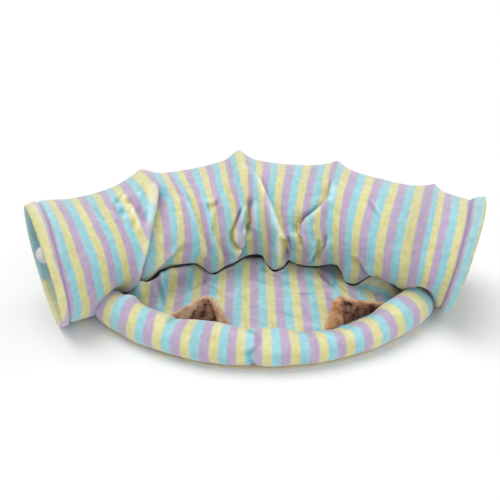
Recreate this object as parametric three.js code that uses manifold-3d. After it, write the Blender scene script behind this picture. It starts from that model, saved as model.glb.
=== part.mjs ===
// Cat tunnel bed: a striped plush tunnel on six hoops, bent in a half circle round a thin padded mat,
// with a stuffed roll along the mat's front edge and two cat ears standing behind the roll.
// Millimetres, +Z up. The origin is on the floor under the middle of the bed, the front faces -Y.
import * as THREE from 'three';
import Module from 'manifold-3d';

const wasm = await Module();
wasm.setup();

const RAD = Math.PI / 180;

// Clearance between sewn pieces
const SEAM_GAP = 0.3;

// Tunnel
const HOOP_RADIUS = 125;
const HOOP_SINK = 2.5;
const WALL = 3;
const HEM_WIDTH = 26;
const HEM_PUFF = 3.5;
const GROOVE_DEPTH = 2.5;
const GROOVE_WIDTH = 5;
const SAG_ANGLE = 26;
const WAIST_ANGLE = 90;
const FOLD_FADE = 14;
const SECTION_EASING = 0.45;
const HEM_STEPS = [0, 0.12, 0.45, 0.8, 1, 1.25];
const HEM_CLEAR = 6;
const NORMAL_STEP = { station: 0.02, angle: 2 };

// Hoops from the left mouth to the right mouth: foot, turn about Z and lean along the tunnel, in degrees
const HOOPS = [
  { x: -406, y: -104, turn: 30, lean: -1.5 },
  { x: -240, y: 52, turn: 20, lean: 10 },
  { x: -14, y: 160, turn: 6, lean: -4 },
  { x: 188, y: 112, turn: -14, lean: -2 },
  { x: 360, y: -14, turn: -20, lean: 1 },
  { x: 431, y: -66, turn: -20, lean: 8 },
];

// Cloth between neighbouring hoops: drop of the roof, pull-in of the walls, cross sections
const SPANS = [
  { sag: 27, waist: 3, sections: 12 },
  { sag: 26, waist: 4, sections: 16 },
  { sag: 29, waist: 4, sections: 18 },
  { sag: 31, waist: 4, sections: 12 },
  { sag: 23, waist: 4, sections: 7 },
];

// Folds that cross the tunnel cloth. path: pairs of angle from the top towards the front, in degrees,
// and station, in hoops from the left mouth. side: 1 has the ridge on the left and the trough on the
// right, -1 the other way. edge is the steep side's width, run the gentle side's.
const FOLDS = [
  { name: 'overlap', path: [[8, 1.1], [54, 1], [95, 0.9], [126, 0.88], [150, 0.89]],
    side: 1, ridge: 8, trough: 22, edge: 18, run: 44 },
  { name: 'flap', path: [[76, 1.3], [96, 1.14], [107, 1.05], [130, 0.94]],
    side: 1, ridge: 6, trough: 8, edge: 18, run: 32 },
  { name: 'leaf left', path: [[54, 1.91], [78, 1.87], [110, 1.87]],
    side: 1, ridge: 4, trough: 8, edge: 13, run: 15 },
  { name: 'leaf right', path: [[54, 2.09], [81, 2.08], [98, 1.98], [124, 1.9]],
    side: 1, ridge: 8, trough: 12, edge: 13, run: 30 },
  { name: 'long drape', path: [[12, 2.13], [55, 2.34], [83, 2.46], [118, 2.52]],
    side: 1, ridge: 12, trough: 7, edge: 16, run: 32 },
  { name: 'elbow', path: [[22, 3], [48, 2.97], [57, 2.9], [65, 2.81], [82, 2.68]],
    side: -1, ridge: 5, trough: 11, edge: 18, run: 38 },
  { name: 'corner', path: [[86, 3.36], [104, 3.48], [122, 3.64]],
    side: -1, ridge: 4, trough: 8, edge: 18, run: 28 },
];

// Broad swells and hollows of the cloth: height out of the surface, half-length along the tunnel in mm
// and half-width around it in degrees
const SWELLS = [
  { station: 0, angle: 0, height: -7, along: 16, around: 60 },
  { station: 0, angle: 180, height: -4, along: 45, around: 45 },
  { station: 0.17, angle: 0, height: 9, along: 36, around: 45 },
  { station: 0.22, angle: 126, height: 5, along: 30, around: 20 },
  { station: 0.4, angle: 142, height: 9, along: 34, around: 22 },
  { station: 0.68, angle: 134, height: -20, along: 30, around: 24 },
  { station: 1.02, angle: -6, height: 8, along: 36, around: 30 },
  { station: 1.4, angle: 4, height: -6, along: 60, around: 20 },
  { station: 1.63, angle: 130, height: 12, along: 26, around: 20 },
  { station: 2, angle: 0, height: 9, along: 26, around: 40 },
  { station: 2.34, angle: 128, height: 22, along: 26, around: 22 },
  { station: 2.72, angle: 66, height: -8, along: 34, around: 17 },
  { station: 3.3, angle: 128, height: 14, along: 28, around: 20 },
  { station: 4.2, angle: 134, height: -34, along: 40, around: 26 },
  { station: 5, angle: 165, height: -8, along: 50, around: 40 },
];

// Lower front edge of the belly: pairs of station and angle. Beyond it the cloth is tucked in.
const BELLY = [
  [0.86, 175], [0.92, 120], [1.02, 118], [1.11, 106], [1.2, 100], [1.34, 105], [1.48, 112], [1.56, 126],
  [1.63, 146], [1.71, 136], [1.82, 135], [1.95, 124], [2.08, 117], [2.16, 117], [2.25, 136], [2.33, 156],
  [2.41, 146], [2.5, 118], [2.61, 129], [2.75, 132], [2.89, 127], [3.05, 114], [3.14, 110], [3.22, 118],
  [3.31, 146], [3.4, 128], [3.5, 111], [3.61, 102], [3.7, 107], [3.8, 112], [3.9, 124], [4.05, 175],
];
const TUCK_DEPTH = 26;
const TUCK_RUN = 24;
const TUCK_END = 178;

// Angles of the cloth's grid around the tunnel: close on the folded front, wide on the back
const FRONT_ARC = { from: -30, to: 180, step: 7.5 };
const BACK_STEP = 18;

// Stuffed front roll: a round arc about the bed's middle
const ARC_CENTRE = { x: 24, y: 178 };
const ROLL_ARC = 422;
const ROLL_FROM = 221;
const ROLL_TO = 320.5;
const ROLL_RADIUS = 36;
const ROLL_FLAT = 2;
const ROLL_SECTIONS = 34;
const ROLL_SIDES = 16;
const ROLL_CAP = 26;
const ROLL_CAP_FLAT = 0.12;
const ROLL_EASING = 0.6;

// Dents where the roll is sewn across or pulled down, and two swells: place on the arc, depth,
// half-length, and the angle from the front upwards and half-angle where it is deepest
const ROLL_DENTS = [
  { at: 228, depth: 3, length: 60, around: 120, spread: 70 },
  { at: 230.2, depth: -9, length: 17, around: 120, spread: 60 },
  { at: 247, depth: 4, length: 22, around: 120, spread: 60 },
  { at: 256, depth: -4.5, length: 34, around: 120, spread: 60 },
  { at: 269, depth: 3.5, length: 8, around: 90, spread: 180 },
  { at: 281, depth: 10, length: 40, around: 120, spread: 60 },
  { at: 291, depth: 22, length: 56, around: 120, spread: 60 },
  { at: 301.5, depth: 8, length: 30, around: 120, spread: 60 },
];

// Mat and the base cloth under it
const BASE_THICK = 2.5;
const BASE_ARC = 441;
const BASE_SHORT = 2;
const BASE_TUCK = { angle: 150, from: 0.55, to: 4.15 };
const BASE_STEPS = 40;
const MAT_ARC = 388;
const MAT_INNER = 60;
const MAT_FROM = 216;
const MAT_TO = 324;
const MAT_HEIGHT = 23;
const MAT_EDGE = 13;
const MAT_EDGE_RUN = 40;
const MAT_COLUMNS = 30;
const MAT_ROWS = 12;
const MAT_SPREAD = 1.3;

// Rises of the mat against the tunnel and its shallow wrinkles: place, height, direction and half sizes
const MAT_WRINKLES = [
  { x: -184, y: 14, height: 49, turn: 27, length: 62, width: 30 },
  { x: -226, y: -42, height: 40, turn: 62, length: 40, width: 26 },
  { x: 270, y: -31, height: 27, turn: -34, length: 48, width: 14 },
  { x: 20, y: 70, height: 8, turn: 0, length: 110, width: 24 },
  { x: -78, y: -50, height: -2.5, turn: 30, length: 60, width: 14 },
  { x: 57, y: -9, height: -3, turn: -12, length: 80, width: 14 },
  { x: 159, y: -56, height: 3, turn: 40, length: 60, width: 16 },
];

// Ears: place on the arc, widths to the left and right, height, lean, cup of the sides, how far the tip
// is drawn to the right, bend of the left and right side (1 is straight, more is hollow), and the
// inner panel's left, right and top on the ear
const EAR_ARC = 366;
const EAR_THICK = 7;
const EAR_PANEL = 4;
const EAR_TIP = 3;
const EAR_FOOT = 6;
const EAR_ROWS = 6;
const EAR_COLUMNS = 4;
const EARS = [
  { name: 'ear_left', at: 249.8, widths: [79, 79], height: 65, lean: 28, cup: 12, tip: 9,
    bends: [1.05, 0.7], panel: { left: -0.34, right: 0.66, top: 0.94 } },
  { name: 'ear_right', at: 302, widths: [88, 100], height: 53, lean: 26, cup: 6, tip: -32,
    bends: [0.68, 1.75], panel: { left: -0.49, right: 0.9, top: 0.92 } },
];

// White toy ball inside the left mouth
const BALL_RADIUS = 17;
const BALL_TUFT = 3;
const BALL_STATION = 0.02;
const BALL_ANGLE = 48;

const PLUSH = { roughness: 0.95, metalness: 0 };
const COLOURS = {
  stripe: 0xc4cfd6,
  roll: 0xcfd2c6,
  beige: 0xd8cdb8,
  tan: 0xa9764f,
  brown: 0x7a4a3a,
  white: 0xf4f0f2,
};

const clamp = (value, low, high) => Math.min(Math.max(value, low), high);
const smooth = (value) => {
  const t = clamp(value, 0, 1);
  return t * t * (3 - 2 * t);
};
const bell = (distance, width) => Math.exp(-((distance / width) ** 2));
const wrapAngle = (angle) => ((angle + 180) % 360 + 360) % 360 - 180;
// Share of a length, with the steps drawn towards both ends
const easedShare = (u, strength) => u - strength * Math.sin(2 * Math.PI * u) / (2 * Math.PI);

// Point of a circle about the bed's middle
function arcPoint(radius, angle, z) {
  return new THREE.Vector3(
    ARC_CENTRE.x + radius * Math.cos(angle * RAD), ARC_CENTRE.y + radius * Math.sin(angle * RAD), z);
}

// Closed solid from rows of points: each row is a loop, and either the rows close on themselves too
// or the first and last row are capped
function solidFromRows(rows, { ring = false, cap = fanCap } = {}) {
  const around = rows[0].length;
  const points = rows.flat();
  const faces = [];
  const joined = ring ? rows.length : rows.length - 1;
  for (let i = 0; i < joined; i += 1) {
    for (let j = 0; j < around; j += 1) {
      const a = i * around + j;
      const b = i * around + (j + 1) % around;
      const c = ((i + 1) % rows.length) * around + (j + 1) % around;
      const d = ((i + 1) % rows.length) * around + j;
      faces.push(a, b, c, a, c, d);
    }
  }
  if (!ring) {
    faces.push(...cap(points, 0, around).reverse());
    faces.push(...cap(points, (rows.length - 1) * around, around));
  }
  return facingOut(points, faces);
}

// Cap of a rounded loop: triangles about its middle, which is added to the points
function fanCap(points, first, around) {
  const loop = points.slice(first, first + around);
  points.push(loop.reduce((sum, p) => sum.add(p), new THREE.Vector3()).divideScalar(around));
  return loop.flatMap((_, j) => [first + j, first + (j + 1) % around, points.length - 1]);
}

// Cap of a long narrow loop: rungs between the points of its two sides
function ladderCap(points, first, around) {
  const faces = [];
  for (let j = 0; j < around / 2 - 1; j += 1) {
    const [a, b] = [first + j, first + j + 1];
    const [c, d] = [first + around - 2 - j, first + around - 1 - j];
    faces.push(a, b, c, a, c, d);
  }
  return faces;
}

// Manifold solid with its faces turned outwards
function facingOut(points, faces) {
  let volume = 0;
  for (let i = 0; i < faces.length; i += 3) {
    const [a, b, c] = [points[faces[i]], points[faces[i + 1]], points[faces[i + 2]]];
    volume += a.dot(b.clone().cross(c));
  }
  const triVerts = Uint32Array.from(volume < 0 ? faces.slice().reverse() : faces);
  const vertProperties = Float32Array.from(points.flatMap((p) => p.toArray()));
  return new wasm.Manifold(new wasm.Mesh({ numProp: 3, vertProperties, triVerts }));
}

// Largest body of a solid, so that a cut leaves one piece
function largest(solid) {
  const bodies = solid.decompose();
  return bodies.reduce((best, body) => (body.volume() > best.volume() ? body : best));
}

function meshOf(name, solid, colour) {
  const { vertProperties, triVerts } = solid.getMesh();
  const geometry = new THREE.BufferGeometry();
  geometry.setAttribute('position', new THREE.BufferAttribute(vertProperties, 3));
  geometry.setIndex(new THREE.BufferAttribute(triVerts, 1));
  const mesh = new THREE.Mesh(geometry, new THREE.MeshStandardMaterial({ color: colour, ...PLUSH }));
  mesh.name = name;
  return mesh;
}

// Point of one hoop at an angle from its top towards the front
function hoopPoint({ x, y, turn, lean }, angle) {
  const out = new THREE.Vector3(Math.sin(turn * RAD), -Math.cos(turn * RAD), 0);
  const up = new THREE.Vector3(Math.sin(lean * RAD) * Math.cos(turn * RAD),
    Math.sin(lean * RAD) * Math.sin(turn * RAD), Math.cos(lean * RAD));
  return new THREE.Vector3(x, y, HOOP_RADIUS * Math.cos(lean * RAD) - HOOP_SINK)
    .addScaledVector(up, HOOP_RADIUS * Math.cos(angle * RAD))
    .addScaledVector(out, HOOP_RADIUS * Math.sin(angle * RAD));
}

// Smooth tunnel cloth before its folds: straight between hoops, with a sagging roof and drawn-in walls
function plainCloth(station, angle) {
  const span = clamp(Math.floor(station), 0, SPANS.length - 1);
  const t = station - span;
  const point = hoopPoint(HOOPS[span], angle).lerp(hoopPoint(HOOPS[span + 1], angle), t);
  const bow = 1 - Math.abs(2 * t - 1) ** 3;
  const roof = Math.max(0, Math.cos((angle - SAG_ANGLE) * RAD));
  const wall = Math.max(0, Math.cos((angle - WAIST_ANGLE) * RAD));
  const turn = THREE.MathUtils.lerp(HOOPS[span].turn, HOOPS[span + 1].turn, t) * RAD;
  point.z -= SPANS[span].sag * bow * roof;
  point.x -= SPANS[span].waist * bow * wall * Math.sin(turn);
  point.y += SPANS[span].waist * bow * wall * Math.cos(turn);
  return point;
}

// Outward normal of a cloth function, by small steps along and around the tunnel
function clothNormal(cloth, station, angle) {
  const low = clamp(station - NORMAL_STEP.station, 0, SPANS.length);
  const high = clamp(station + NORMAL_STEP.station, 0, SPANS.length);
  const along = cloth(high, angle).sub(cloth(low, angle));
  const around = cloth(station, angle + NORMAL_STEP.angle).sub(cloth(station, angle - NORMAL_STEP.angle));
  return around.cross(along).normalize();
}

// Length of the tunnel between two hoops, at its middle line
const SPAN_LENGTHS = SPANS.map((_, i) =>
  Math.hypot(HOOPS[i + 1].x - HOOPS[i].x, HOOPS[i + 1].y - HOOPS[i].y));

// Distance along the tunnel from the left mouth to a station
function lengthAt(station) {
  const span = clamp(Math.floor(station), 0, SPANS.length - 1);
  const before = SPAN_LENGTHS.slice(0, span).reduce((sum, length) => sum + length, 0);
  return before + (station - span) * SPAN_LENGTHS[span];
}

const TUNNEL_LENGTH = lengthAt(SPANS.length);

// Value of a path of pairs at a place, held at its ends
function pathValue(path, place) {
  const after = path.findIndex(([start]) => start > place);
  const next = clamp(after < 0 ? path.length : after, 1, path.length - 1);
  const [[p0, v0], [p1, v1]] = [path[next - 1], path[next]];
  return THREE.MathUtils.lerp(v0, v1, clamp((place - p0) / (p1 - p0), 0, 1));
}

// Height of one fold: a ridge beside a trough, fading out at both ends of its path
function foldHeight({ path, side, ridge, trough, edge, run }, station, angle) {
  const first = path[0][0];
  const last = path[path.length - 1][0];
  const fade = smooth((angle - first) / FOLD_FADE) * smooth((last - angle) / FOLD_FADE);
  if (fade === 0) {
    return 0;
  }
  const across = side * (lengthAt(station) - lengthAt(pathValue(path, angle)));
  const onRidge = across + edge / 2;
  const onTrough = across - edge / 2;
  return fade * (ridge * bell(onRidge, onRidge < 0 ? run : edge) -
    trough * bell(onTrough, onTrough > 0 ? run : edge));
}

// Depth by which the cloth under the belly's edge is tucked in
function tuckDepth(station, angle) {
  const edge = pathValue(BELLY, station);
  return TUCK_DEPTH * smooth((angle - edge) / TUCK_RUN) * smooth((TUCK_END - angle) / TUCK_RUN);
}

// Height of all folds and swells of the cloth, and of the hems and their sewn grooves
function clothHeight(station, angle) {
  const wrapped = wrapAngle(angle);
  const length = lengthAt(station);
  let height = 0;
  for (const fold of FOLDS) {
    height += foldHeight(fold, station, wrapped);
  }
  for (const swell of SWELLS) {
    height += swell.height * bell(length - lengthAt(swell.station), swell.along) *
      bell(wrapAngle(wrapped - swell.angle), swell.around);
  }
  height -= tuckDepth(station, wrapped);
  const fromMouth = Math.min(length, TUNNEL_LENGTH - length);
  return height + hemPuff(fromMouth) - GROOVE_DEPTH * bell(fromMouth - HEM_WIDTH, GROOVE_WIDTH);
}

// Swelling of the hem between the mouth's edge and the sewn groove
function hemPuff(fromMouth) {
  return fromMouth < HEM_WIDTH ? HEM_PUFF * Math.sqrt(Math.sin(Math.PI * fromMouth / HEM_WIDTH)) : 0;
}

// Outer face of the tunnel cloth, pressed flat where it lies on the floor
function outerCloth(station, angle) {
  const point = plainCloth(station, angle)
    .addScaledVector(clothNormal(plainCloth, station, angle), clothHeight(station, angle));
  point.z = Math.max(point.z, 0);
  return point;
}

// Inner face, a cloth's thickness inside the outer one
function innerCloth(station, angle) {
  const fromMouth = Math.min(lengthAt(station), TUNNEL_LENGTH - lengthAt(station));
  const thick = WALL + hemPuff(fromMouth);
  const point = outerCloth(station, angle)
    .addScaledVector(clothNormal(outerCloth, station, angle), -thick);
  point.z = Math.max(point.z, thick);
  return point;
}

// Stations of the cross sections, closer together at the hoops and along the hems
function tunnelStations() {
  const last = SPANS.length - 1;
  const left = HEM_STEPS.map((share) => share * HEM_WIDTH / SPAN_LENGTHS[0]);
  const right = HEM_STEPS.map((share) => SPANS.length - share * HEM_WIDTH / SPAN_LENGTHS[last]).reverse();
  const firstLength = lengthAt(left[left.length - 1]) + HEM_CLEAR;
  const lastLength = lengthAt(right[0]) - HEM_CLEAR;
  const middle = SPANS.flatMap(({ sections }, span) =>
    Array.from({ length: sections }, (_, i) => span + easedShare(i / sections, SECTION_EASING)));
  const between = middle.filter((station) => {
    const length = lengthAt(station);
    return length > firstLength && length < lastLength;
  });
  return [...left, ...between, ...right];
}

function tunnelAngles() {
  const angles = [];
  for (let angle = FRONT_ARC.from; angle < FRONT_ARC.to; angle += FRONT_ARC.step) {
    angles.push(angle);
  }
  for (let angle = FRONT_ARC.to; angle < FRONT_ARC.from + 360; angle += BACK_STEP) {
    angles.push(angle);
  }
  return angles;
}

const STATIONS = tunnelStations();
const ANGLES = tunnelAngles();

function tunnelSolid() {
  const outer = STATIONS.map((station) => ANGLES.map((angle) => outerCloth(station, angle)));
  const inner = STATIONS.map((station) => ANGLES.map((angle) => innerCloth(station, angle)));
  return solidFromRows([...outer, ...inner.reverse()], { ring: true });
}

// Filled tunnel, grown by a gap, that shapes what is sewn or pressed against it
function tunnelPlug(gap) {
  const rows = STATIONS.map((station) => ANGLES.map((angle) =>
    outerCloth(station, angle).addScaledVector(clothNormal(outerCloth, station, angle), gap)));
  return solidFromRows(rows);
}

// Front roll: round sections along the arc, flat underneath, with closed round ends
function rollSolid() {
  const rows = [];
  const capAngle = ROLL_CAP / ROLL_ARC / RAD;
  for (let i = 0; i <= ROLL_SECTIONS; i += 1) {
    const at = THREE.MathUtils.lerp(ROLL_FROM, ROLL_TO, easedShare(i / ROLL_SECTIONS, ROLL_EASING));
    const toEnd = Math.min(at - ROLL_FROM, ROLL_TO - at) / capAngle;
    const cap = toEnd < 1 ? Math.sqrt(Math.max(ROLL_CAP_FLAT, 1 - (1 - toEnd) ** 2)) : 1;
    rows.push(rollSection(at, cap));
  }
  return solidFromRows(rows);
}

function rollSection(at, cap) {
  const floor = BASE_THICK + SEAM_GAP;
  const axis = floor + ROLL_RADIUS - ROLL_FLAT;
  const section = [];
  for (let j = 0; j < ROLL_SIDES; j += 1) {
    const angle = 360 * (j + 0.5) / ROLL_SIDES;
    const dents = ROLL_DENTS.reduce((sum, dent) =>
      sum + dent.depth * bell((at - dent.at) * RAD * ROLL_ARC, dent.length) *
        bell(wrapAngle(angle - dent.around), dent.spread), 0);
    const radius = (ROLL_RADIUS - dents) * cap;
    const z = axis + radius * Math.sin(angle * RAD);
    section.push(arcPoint(ROLL_ARC + radius * Math.cos(angle * RAD), at, Math.max(z, floor)));
  }
  return section;
}

// Top of the mat: level in the middle, lower along its sewn front edge, with shallow wrinkles
function matTop(radius, at) {
  const edge = smooth((MAT_ARC - radius) / MAT_EDGE_RUN);
  let z = THREE.MathUtils.lerp(MAT_EDGE, MAT_HEIGHT, edge);
  const point = arcPoint(radius, at, 0);
  for (const wrinkle of MAT_WRINKLES) {
    const [x, y] = [point.x - wrinkle.x, point.y - wrinkle.y];
    const along = x * Math.cos(wrinkle.turn * RAD) + y * Math.sin(wrinkle.turn * RAD);
    const across = y * Math.cos(wrinkle.turn * RAD) - x * Math.sin(wrinkle.turn * RAD);
    z += edge * wrinkle.height * bell(along, wrinkle.length) * bell(across, wrinkle.width);
  }
  return BASE_THICK + SEAM_GAP + z;
}

// Padded mat before its back edge is shaped: a thick half moon, its top raised by a lift
function matBlank(lift) {
  const rows = [];
  const floor = BASE_THICK + SEAM_GAP;
  for (let i = 0; i <= MAT_COLUMNS; i += 1) {
    const at = THREE.MathUtils.lerp(MAT_FROM, MAT_TO, i / MAT_COLUMNS);
    const section = [arcPoint(MAT_INNER, at, floor), arcPoint(MAT_ARC, at, floor)];
    for (let j = 0; j <= MAT_ROWS; j += 1) {
      const radius = THREE.MathUtils.lerp(MAT_ARC, MAT_INNER, (j / MAT_ROWS) ** MAT_SPREAD);
      section.push(arcPoint(radius, at, matTop(radius, at) + lift));
    }
    rows.push(section);
  }
  return solidFromRows(rows);
}

// Mat between the roll and the tunnel, its back edge against the tunnel's cloth
function matSolid() {
  return largest(matBlank(0).subtract(tunnelPlug(SEAM_GAP)));
}

// Base cloth: flat on the floor under the roll and the mat, its back edge tucked under the tunnel
function baseSolid() {
  const outline = [];
  for (let i = 0; i <= BASE_STEPS; i += 1) {
    const station = THREE.MathUtils.lerp(BASE_TUCK.to, BASE_TUCK.from, i / BASE_STEPS);
    const point = plainCloth(station, BASE_TUCK.angle);
    outline.push(new THREE.Vector2(point.x, point.y));
  }
  for (let i = 0; i <= BASE_STEPS; i += 1) {
    const at = THREE.MathUtils.lerp(ROLL_FROM + BASE_SHORT, ROLL_TO - BASE_SHORT, i / BASE_STEPS);
    const point = arcPoint(BASE_ARC, at, 0);
    outline.push(new THREE.Vector2(point.x, point.y));
  }
  const flat = new THREE.ExtrudeGeometry(new THREE.Shape(outline),
    { depth: BASE_THICK, bevelEnabled: false, steps: 1 });
  return solidFromGeometry(flat);
}

// Manifold solid from a three.js geometry, its equal vertices merged
function solidFromGeometry(geometry) {
  const position = geometry.getAttribute('position');
  const points = [];
  const seen = new Map();
  const faces = [];
  for (let i = 0; i < position.count; i += 1) {
    const point = new THREE.Vector3().fromBufferAttribute(position, i);
    const key = point.toArray().map((value) => value.toFixed(4)).join();
    if (!seen.has(key)) {
      seen.set(key, points.length);
      points.push(point);
    }
    faces.push(seen.get(key));
  }
  return facingOut(points, faces);
}

// Point of a cupped triangular ear: u from its left to its right edge, v from its foot to its tip
function earPoint({ at, widths, height, lean, cup, tip, bends }, u, v, depth, foot) {
  const right = new THREE.Vector3(-Math.sin(at * RAD), Math.cos(at * RAD), 0);
  const towardRoll = new THREE.Vector3(Math.cos(at * RAD), Math.sin(at * RAD), 0);
  const side = u < 0 ? 0 : 1;
  const half = widths[side] * (1 - v) ** bends[side] + EAR_TIP;
  const bowed = cup * u * u * (1 - v) + depth - Math.sin(lean * RAD) * height * v;
  return arcPoint(EAR_ARC, at, foot + height * Math.cos(lean * RAD) * v)
    .addScaledVector(right, u * half + tip * v * v)
    .addScaledVector(towardRoll, bowed);
}

// Ear layer over some columns and rows of the ear; its seam side meets the other layer
function earLayer(ear, columns, rows, seam, face) {
  const foot = matTop(EAR_ARC, ear.at) - EAR_FOOT;
  const side = (v, depth) => columns.map((u) => earPoint(ear, u, v, depth, foot));
  return solidFromRows(rows.map((v) => [...side(v, seam), ...side(v, face).reverse()]), { cap: ladderCap });
}

// Ear and its inner panel, their feet sewn along the mat's top
function earMeshes(ear) {
  const { left, right, top } = ear.panel;
  const columns = Array.from({ length: EAR_COLUMNS }, (_, j) =>
    THREE.MathUtils.lerp(left, right, j / (EAR_COLUMNS - 1)));
  const rows = Array.from({ length: EAR_ROWS }, (_, i) => top * i / (EAR_ROWS - 1));
  const shell = earLayer(ear, [-1, ...columns, 1], [...rows, 1], 0, -EAR_THICK);
  const panel = earLayer(ear, columns, rows, SEAM_GAP, EAR_PANEL);
  const matGrown = matBlank(SEAM_GAP);
  return [
    meshOf(ear.name, largest(shell.subtract(matGrown)), COLOURS.tan),
    meshOf(`${ear.name}_inner`, largest(panel.subtract(matGrown)), COLOURS.brown),
  ];
}

// Toy ball: every face of a round ball raised to a short tuft
function ballSolid() {
  const inside = innerCloth(BALL_STATION, BALL_ANGLE);
  const normal = clothNormal(outerCloth, BALL_STATION, BALL_ANGLE);
  const centre = inside.addScaledVector(normal, -(BALL_RADIUS + SEAM_GAP));
  const round = new THREE.IcosahedronGeometry(BALL_RADIUS - BALL_TUFT, 1).getAttribute('position');
  const points = [];
  const seen = new Map();
  const faces = [];
  const indexOf = (point) => {
    const key = point.toArray().map((value) => value.toFixed(3)).join();
    if (!seen.has(key)) {
      seen.set(key, points.length);
      points.push(point.clone().add(centre));
    }
    return seen.get(key);
  };
  for (let i = 0; i < round.count; i += 3) {
    const corners = [0, 1, 2].map((k) => new THREE.Vector3().fromBufferAttribute(round, i + k));
    const tuft = corners[0].clone().add(corners[1]).add(corners[2]).setLength(BALL_RADIUS);
    for (let k = 0; k < 3; k += 1) {
      faces.push(indexOf(corners[k]), indexOf(corners[(k + 1) % 3]), indexOf(tuft));
    }
  }
  return facingOut(points, faces);
}

const bed = new THREE.Group();
bed.name = 'cat_tunnel_bed';
bed.add(
  meshOf('tunnel', tunnelSolid(), COLOURS.stripe),
  meshOf('mat', matSolid(), COLOURS.stripe),
  meshOf('roll', largest(rollSolid().subtract(tunnelPlug(SEAM_GAP))), COLOURS.roll),
  meshOf('base_cloth', baseSolid(), COLOURS.beige),
  meshOf('toy_ball', ballSolid(), COLOURS.white),
  ...EARS.flatMap(earMeshes),
);

export default bed;
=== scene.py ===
"""Cat tunnel bed: a striped plush tunnel round a padded mat, with a stuffed front roll and cat ears.

The shapes are worked out in millimetres, in the part's own frame, and become metres where a mesh is made.
"""

import logging
import math
from dataclasses import dataclass, field
from enum import Enum
from typing import Sequence, Union

import bpy
import numpy as np
from mathutils import Euler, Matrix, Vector, kdtree


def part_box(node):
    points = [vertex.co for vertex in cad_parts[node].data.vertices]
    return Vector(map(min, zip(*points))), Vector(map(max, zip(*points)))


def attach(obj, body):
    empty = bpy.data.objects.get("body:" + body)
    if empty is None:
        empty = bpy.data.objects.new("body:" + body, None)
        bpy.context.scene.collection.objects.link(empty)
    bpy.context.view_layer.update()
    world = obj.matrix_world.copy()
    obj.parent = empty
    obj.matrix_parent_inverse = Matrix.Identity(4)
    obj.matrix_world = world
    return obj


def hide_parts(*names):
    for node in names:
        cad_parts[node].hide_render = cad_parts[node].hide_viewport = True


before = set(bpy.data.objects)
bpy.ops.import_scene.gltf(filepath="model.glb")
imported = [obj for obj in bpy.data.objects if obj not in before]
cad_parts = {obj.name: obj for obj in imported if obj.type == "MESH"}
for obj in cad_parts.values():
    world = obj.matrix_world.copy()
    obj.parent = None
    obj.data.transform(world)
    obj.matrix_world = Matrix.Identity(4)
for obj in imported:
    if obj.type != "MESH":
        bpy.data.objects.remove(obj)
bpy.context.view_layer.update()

LOG = logging.getLogger("cat_tunnel_bed")
BODY = "root"
MM = 0.001
# Gap that is left between pieces that touch, in millimetres
SEAM_GAP = 0.4
STRIPE = "stripe"
# Mark of painted light and shade: paler on ridges and tops, darker in folds, in hollows, on the lining and
# under the belly
PAINTED_LIGHT = "relief"
# Mark that pales pile towards a strand's tip; on the ears' inner panels it also carries painted shade, darker
# at the foot
TIP_AND_PAINTED_SHADE = "tip"
# Where the bed is seen from, in millimetres
EYE = (0.0, -1101.0, 735.0)
# Period of the wave texture's bands at a scale of 1, in metres
BAND_PERIOD = 0.314

Array = np.ndarray
Colour = tuple[float, float, float]


def srgb(red: int, green: int, blue: int) -> Colour:
    """Turns screen levels from 0 to 255 into a linear colour.

    Args:
        red: Red level.
        green: Green level.
        blue: Blue level.

    Returns:
        The linear red, green and blue.
    """
    levels = np.array([red, green, blue]) / 255
    return tuple(np.where(levels <= 0.04045, levels / 12.92, ((levels + 0.055) / 1.055) ** 2.4).tolist())


def bell(distance: Array, width: Union[float, Array]) -> Array:
    """Gives a smooth hump of height 1 that falls off over a width."""
    return np.exp(-((distance / width) ** 2))


def smooth_step(value: Array) -> Array:
    """Gives an even rise from 0 to 1 as the value goes from 0 to 1."""
    share = np.clip(value, 0, 1)
    return share * share * (3 - 2 * share)


def round_edge(share: Array, least: float = 0.0) -> Array:
    """Gives the quarter round of a soft edge: near 0 at the edge, and 1 from a share of 1 on."""
    return np.sqrt(np.clip(1 - (1 - np.clip(share, 0, 1)) ** 2, least, 1))


@dataclass(frozen=True)
class Ripple:
    """An uneven but repeatable ripple: its height, middle wavelength and seed."""

    height: float
    wave: float
    seed: int
    count: int = 7
    lengths: tuple[float, float] = (0.6, 1.6)

    def at(self, along: Array, across: Array) -> Array:
        """Adds up a few slanted waves.

        Args:
            along: First coordinate, in the unit of the wavelength.
            across: Second coordinate.

        Returns:
            Height at each place.
        """
        draw = np.random.default_rng(self.seed)
        total = np.zeros(np.broadcast(along, across).shape)
        for _ in range(self.count):
            turn, phase = draw.uniform(0, 2 * math.pi, 2)
            length = self.wave * draw.uniform(*self.lengths)
            slant = along * math.cos(turn) + across * math.sin(turn)
            total = total + np.sin(2 * math.pi * slant / length + phase)
        return self.height * total / math.sqrt(2 * self.count)


def relief_of(height: Array, reach: int, depth: float, closed: bool = False) -> Array:
    """Tells ridges from troughs by how far each point stands out of the cloth around it.

    Args:
        height: Heights over a grid, in millimetres.
        reach: Half width of the cloth that is compared, in steps of the grid.
        depth: Height that counts as 1.
        closed: Whether the grid's columns close on themselves.

    Returns:
        Up to 1 on a ridge and down to -1 in a trough.
    """
    weights = bell(np.arange(-2 * reach, 2 * reach + 1), reach)
    level = height
    for axis in (0, 1):
        margin = [(2 * reach, 2 * reach) if axis == side else (0, 0) for side in (0, 1)]
        padded = np.pad(level, margin, "wrap" if closed and axis == 1 else "edge")
        level = sum(weight * np.take(padded, np.arange(height.shape[axis]) + step, axis)
                    for step, weight in enumerate(weights / weights.sum()))
    return np.clip((height - level) / depth, -1, 1)


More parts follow.
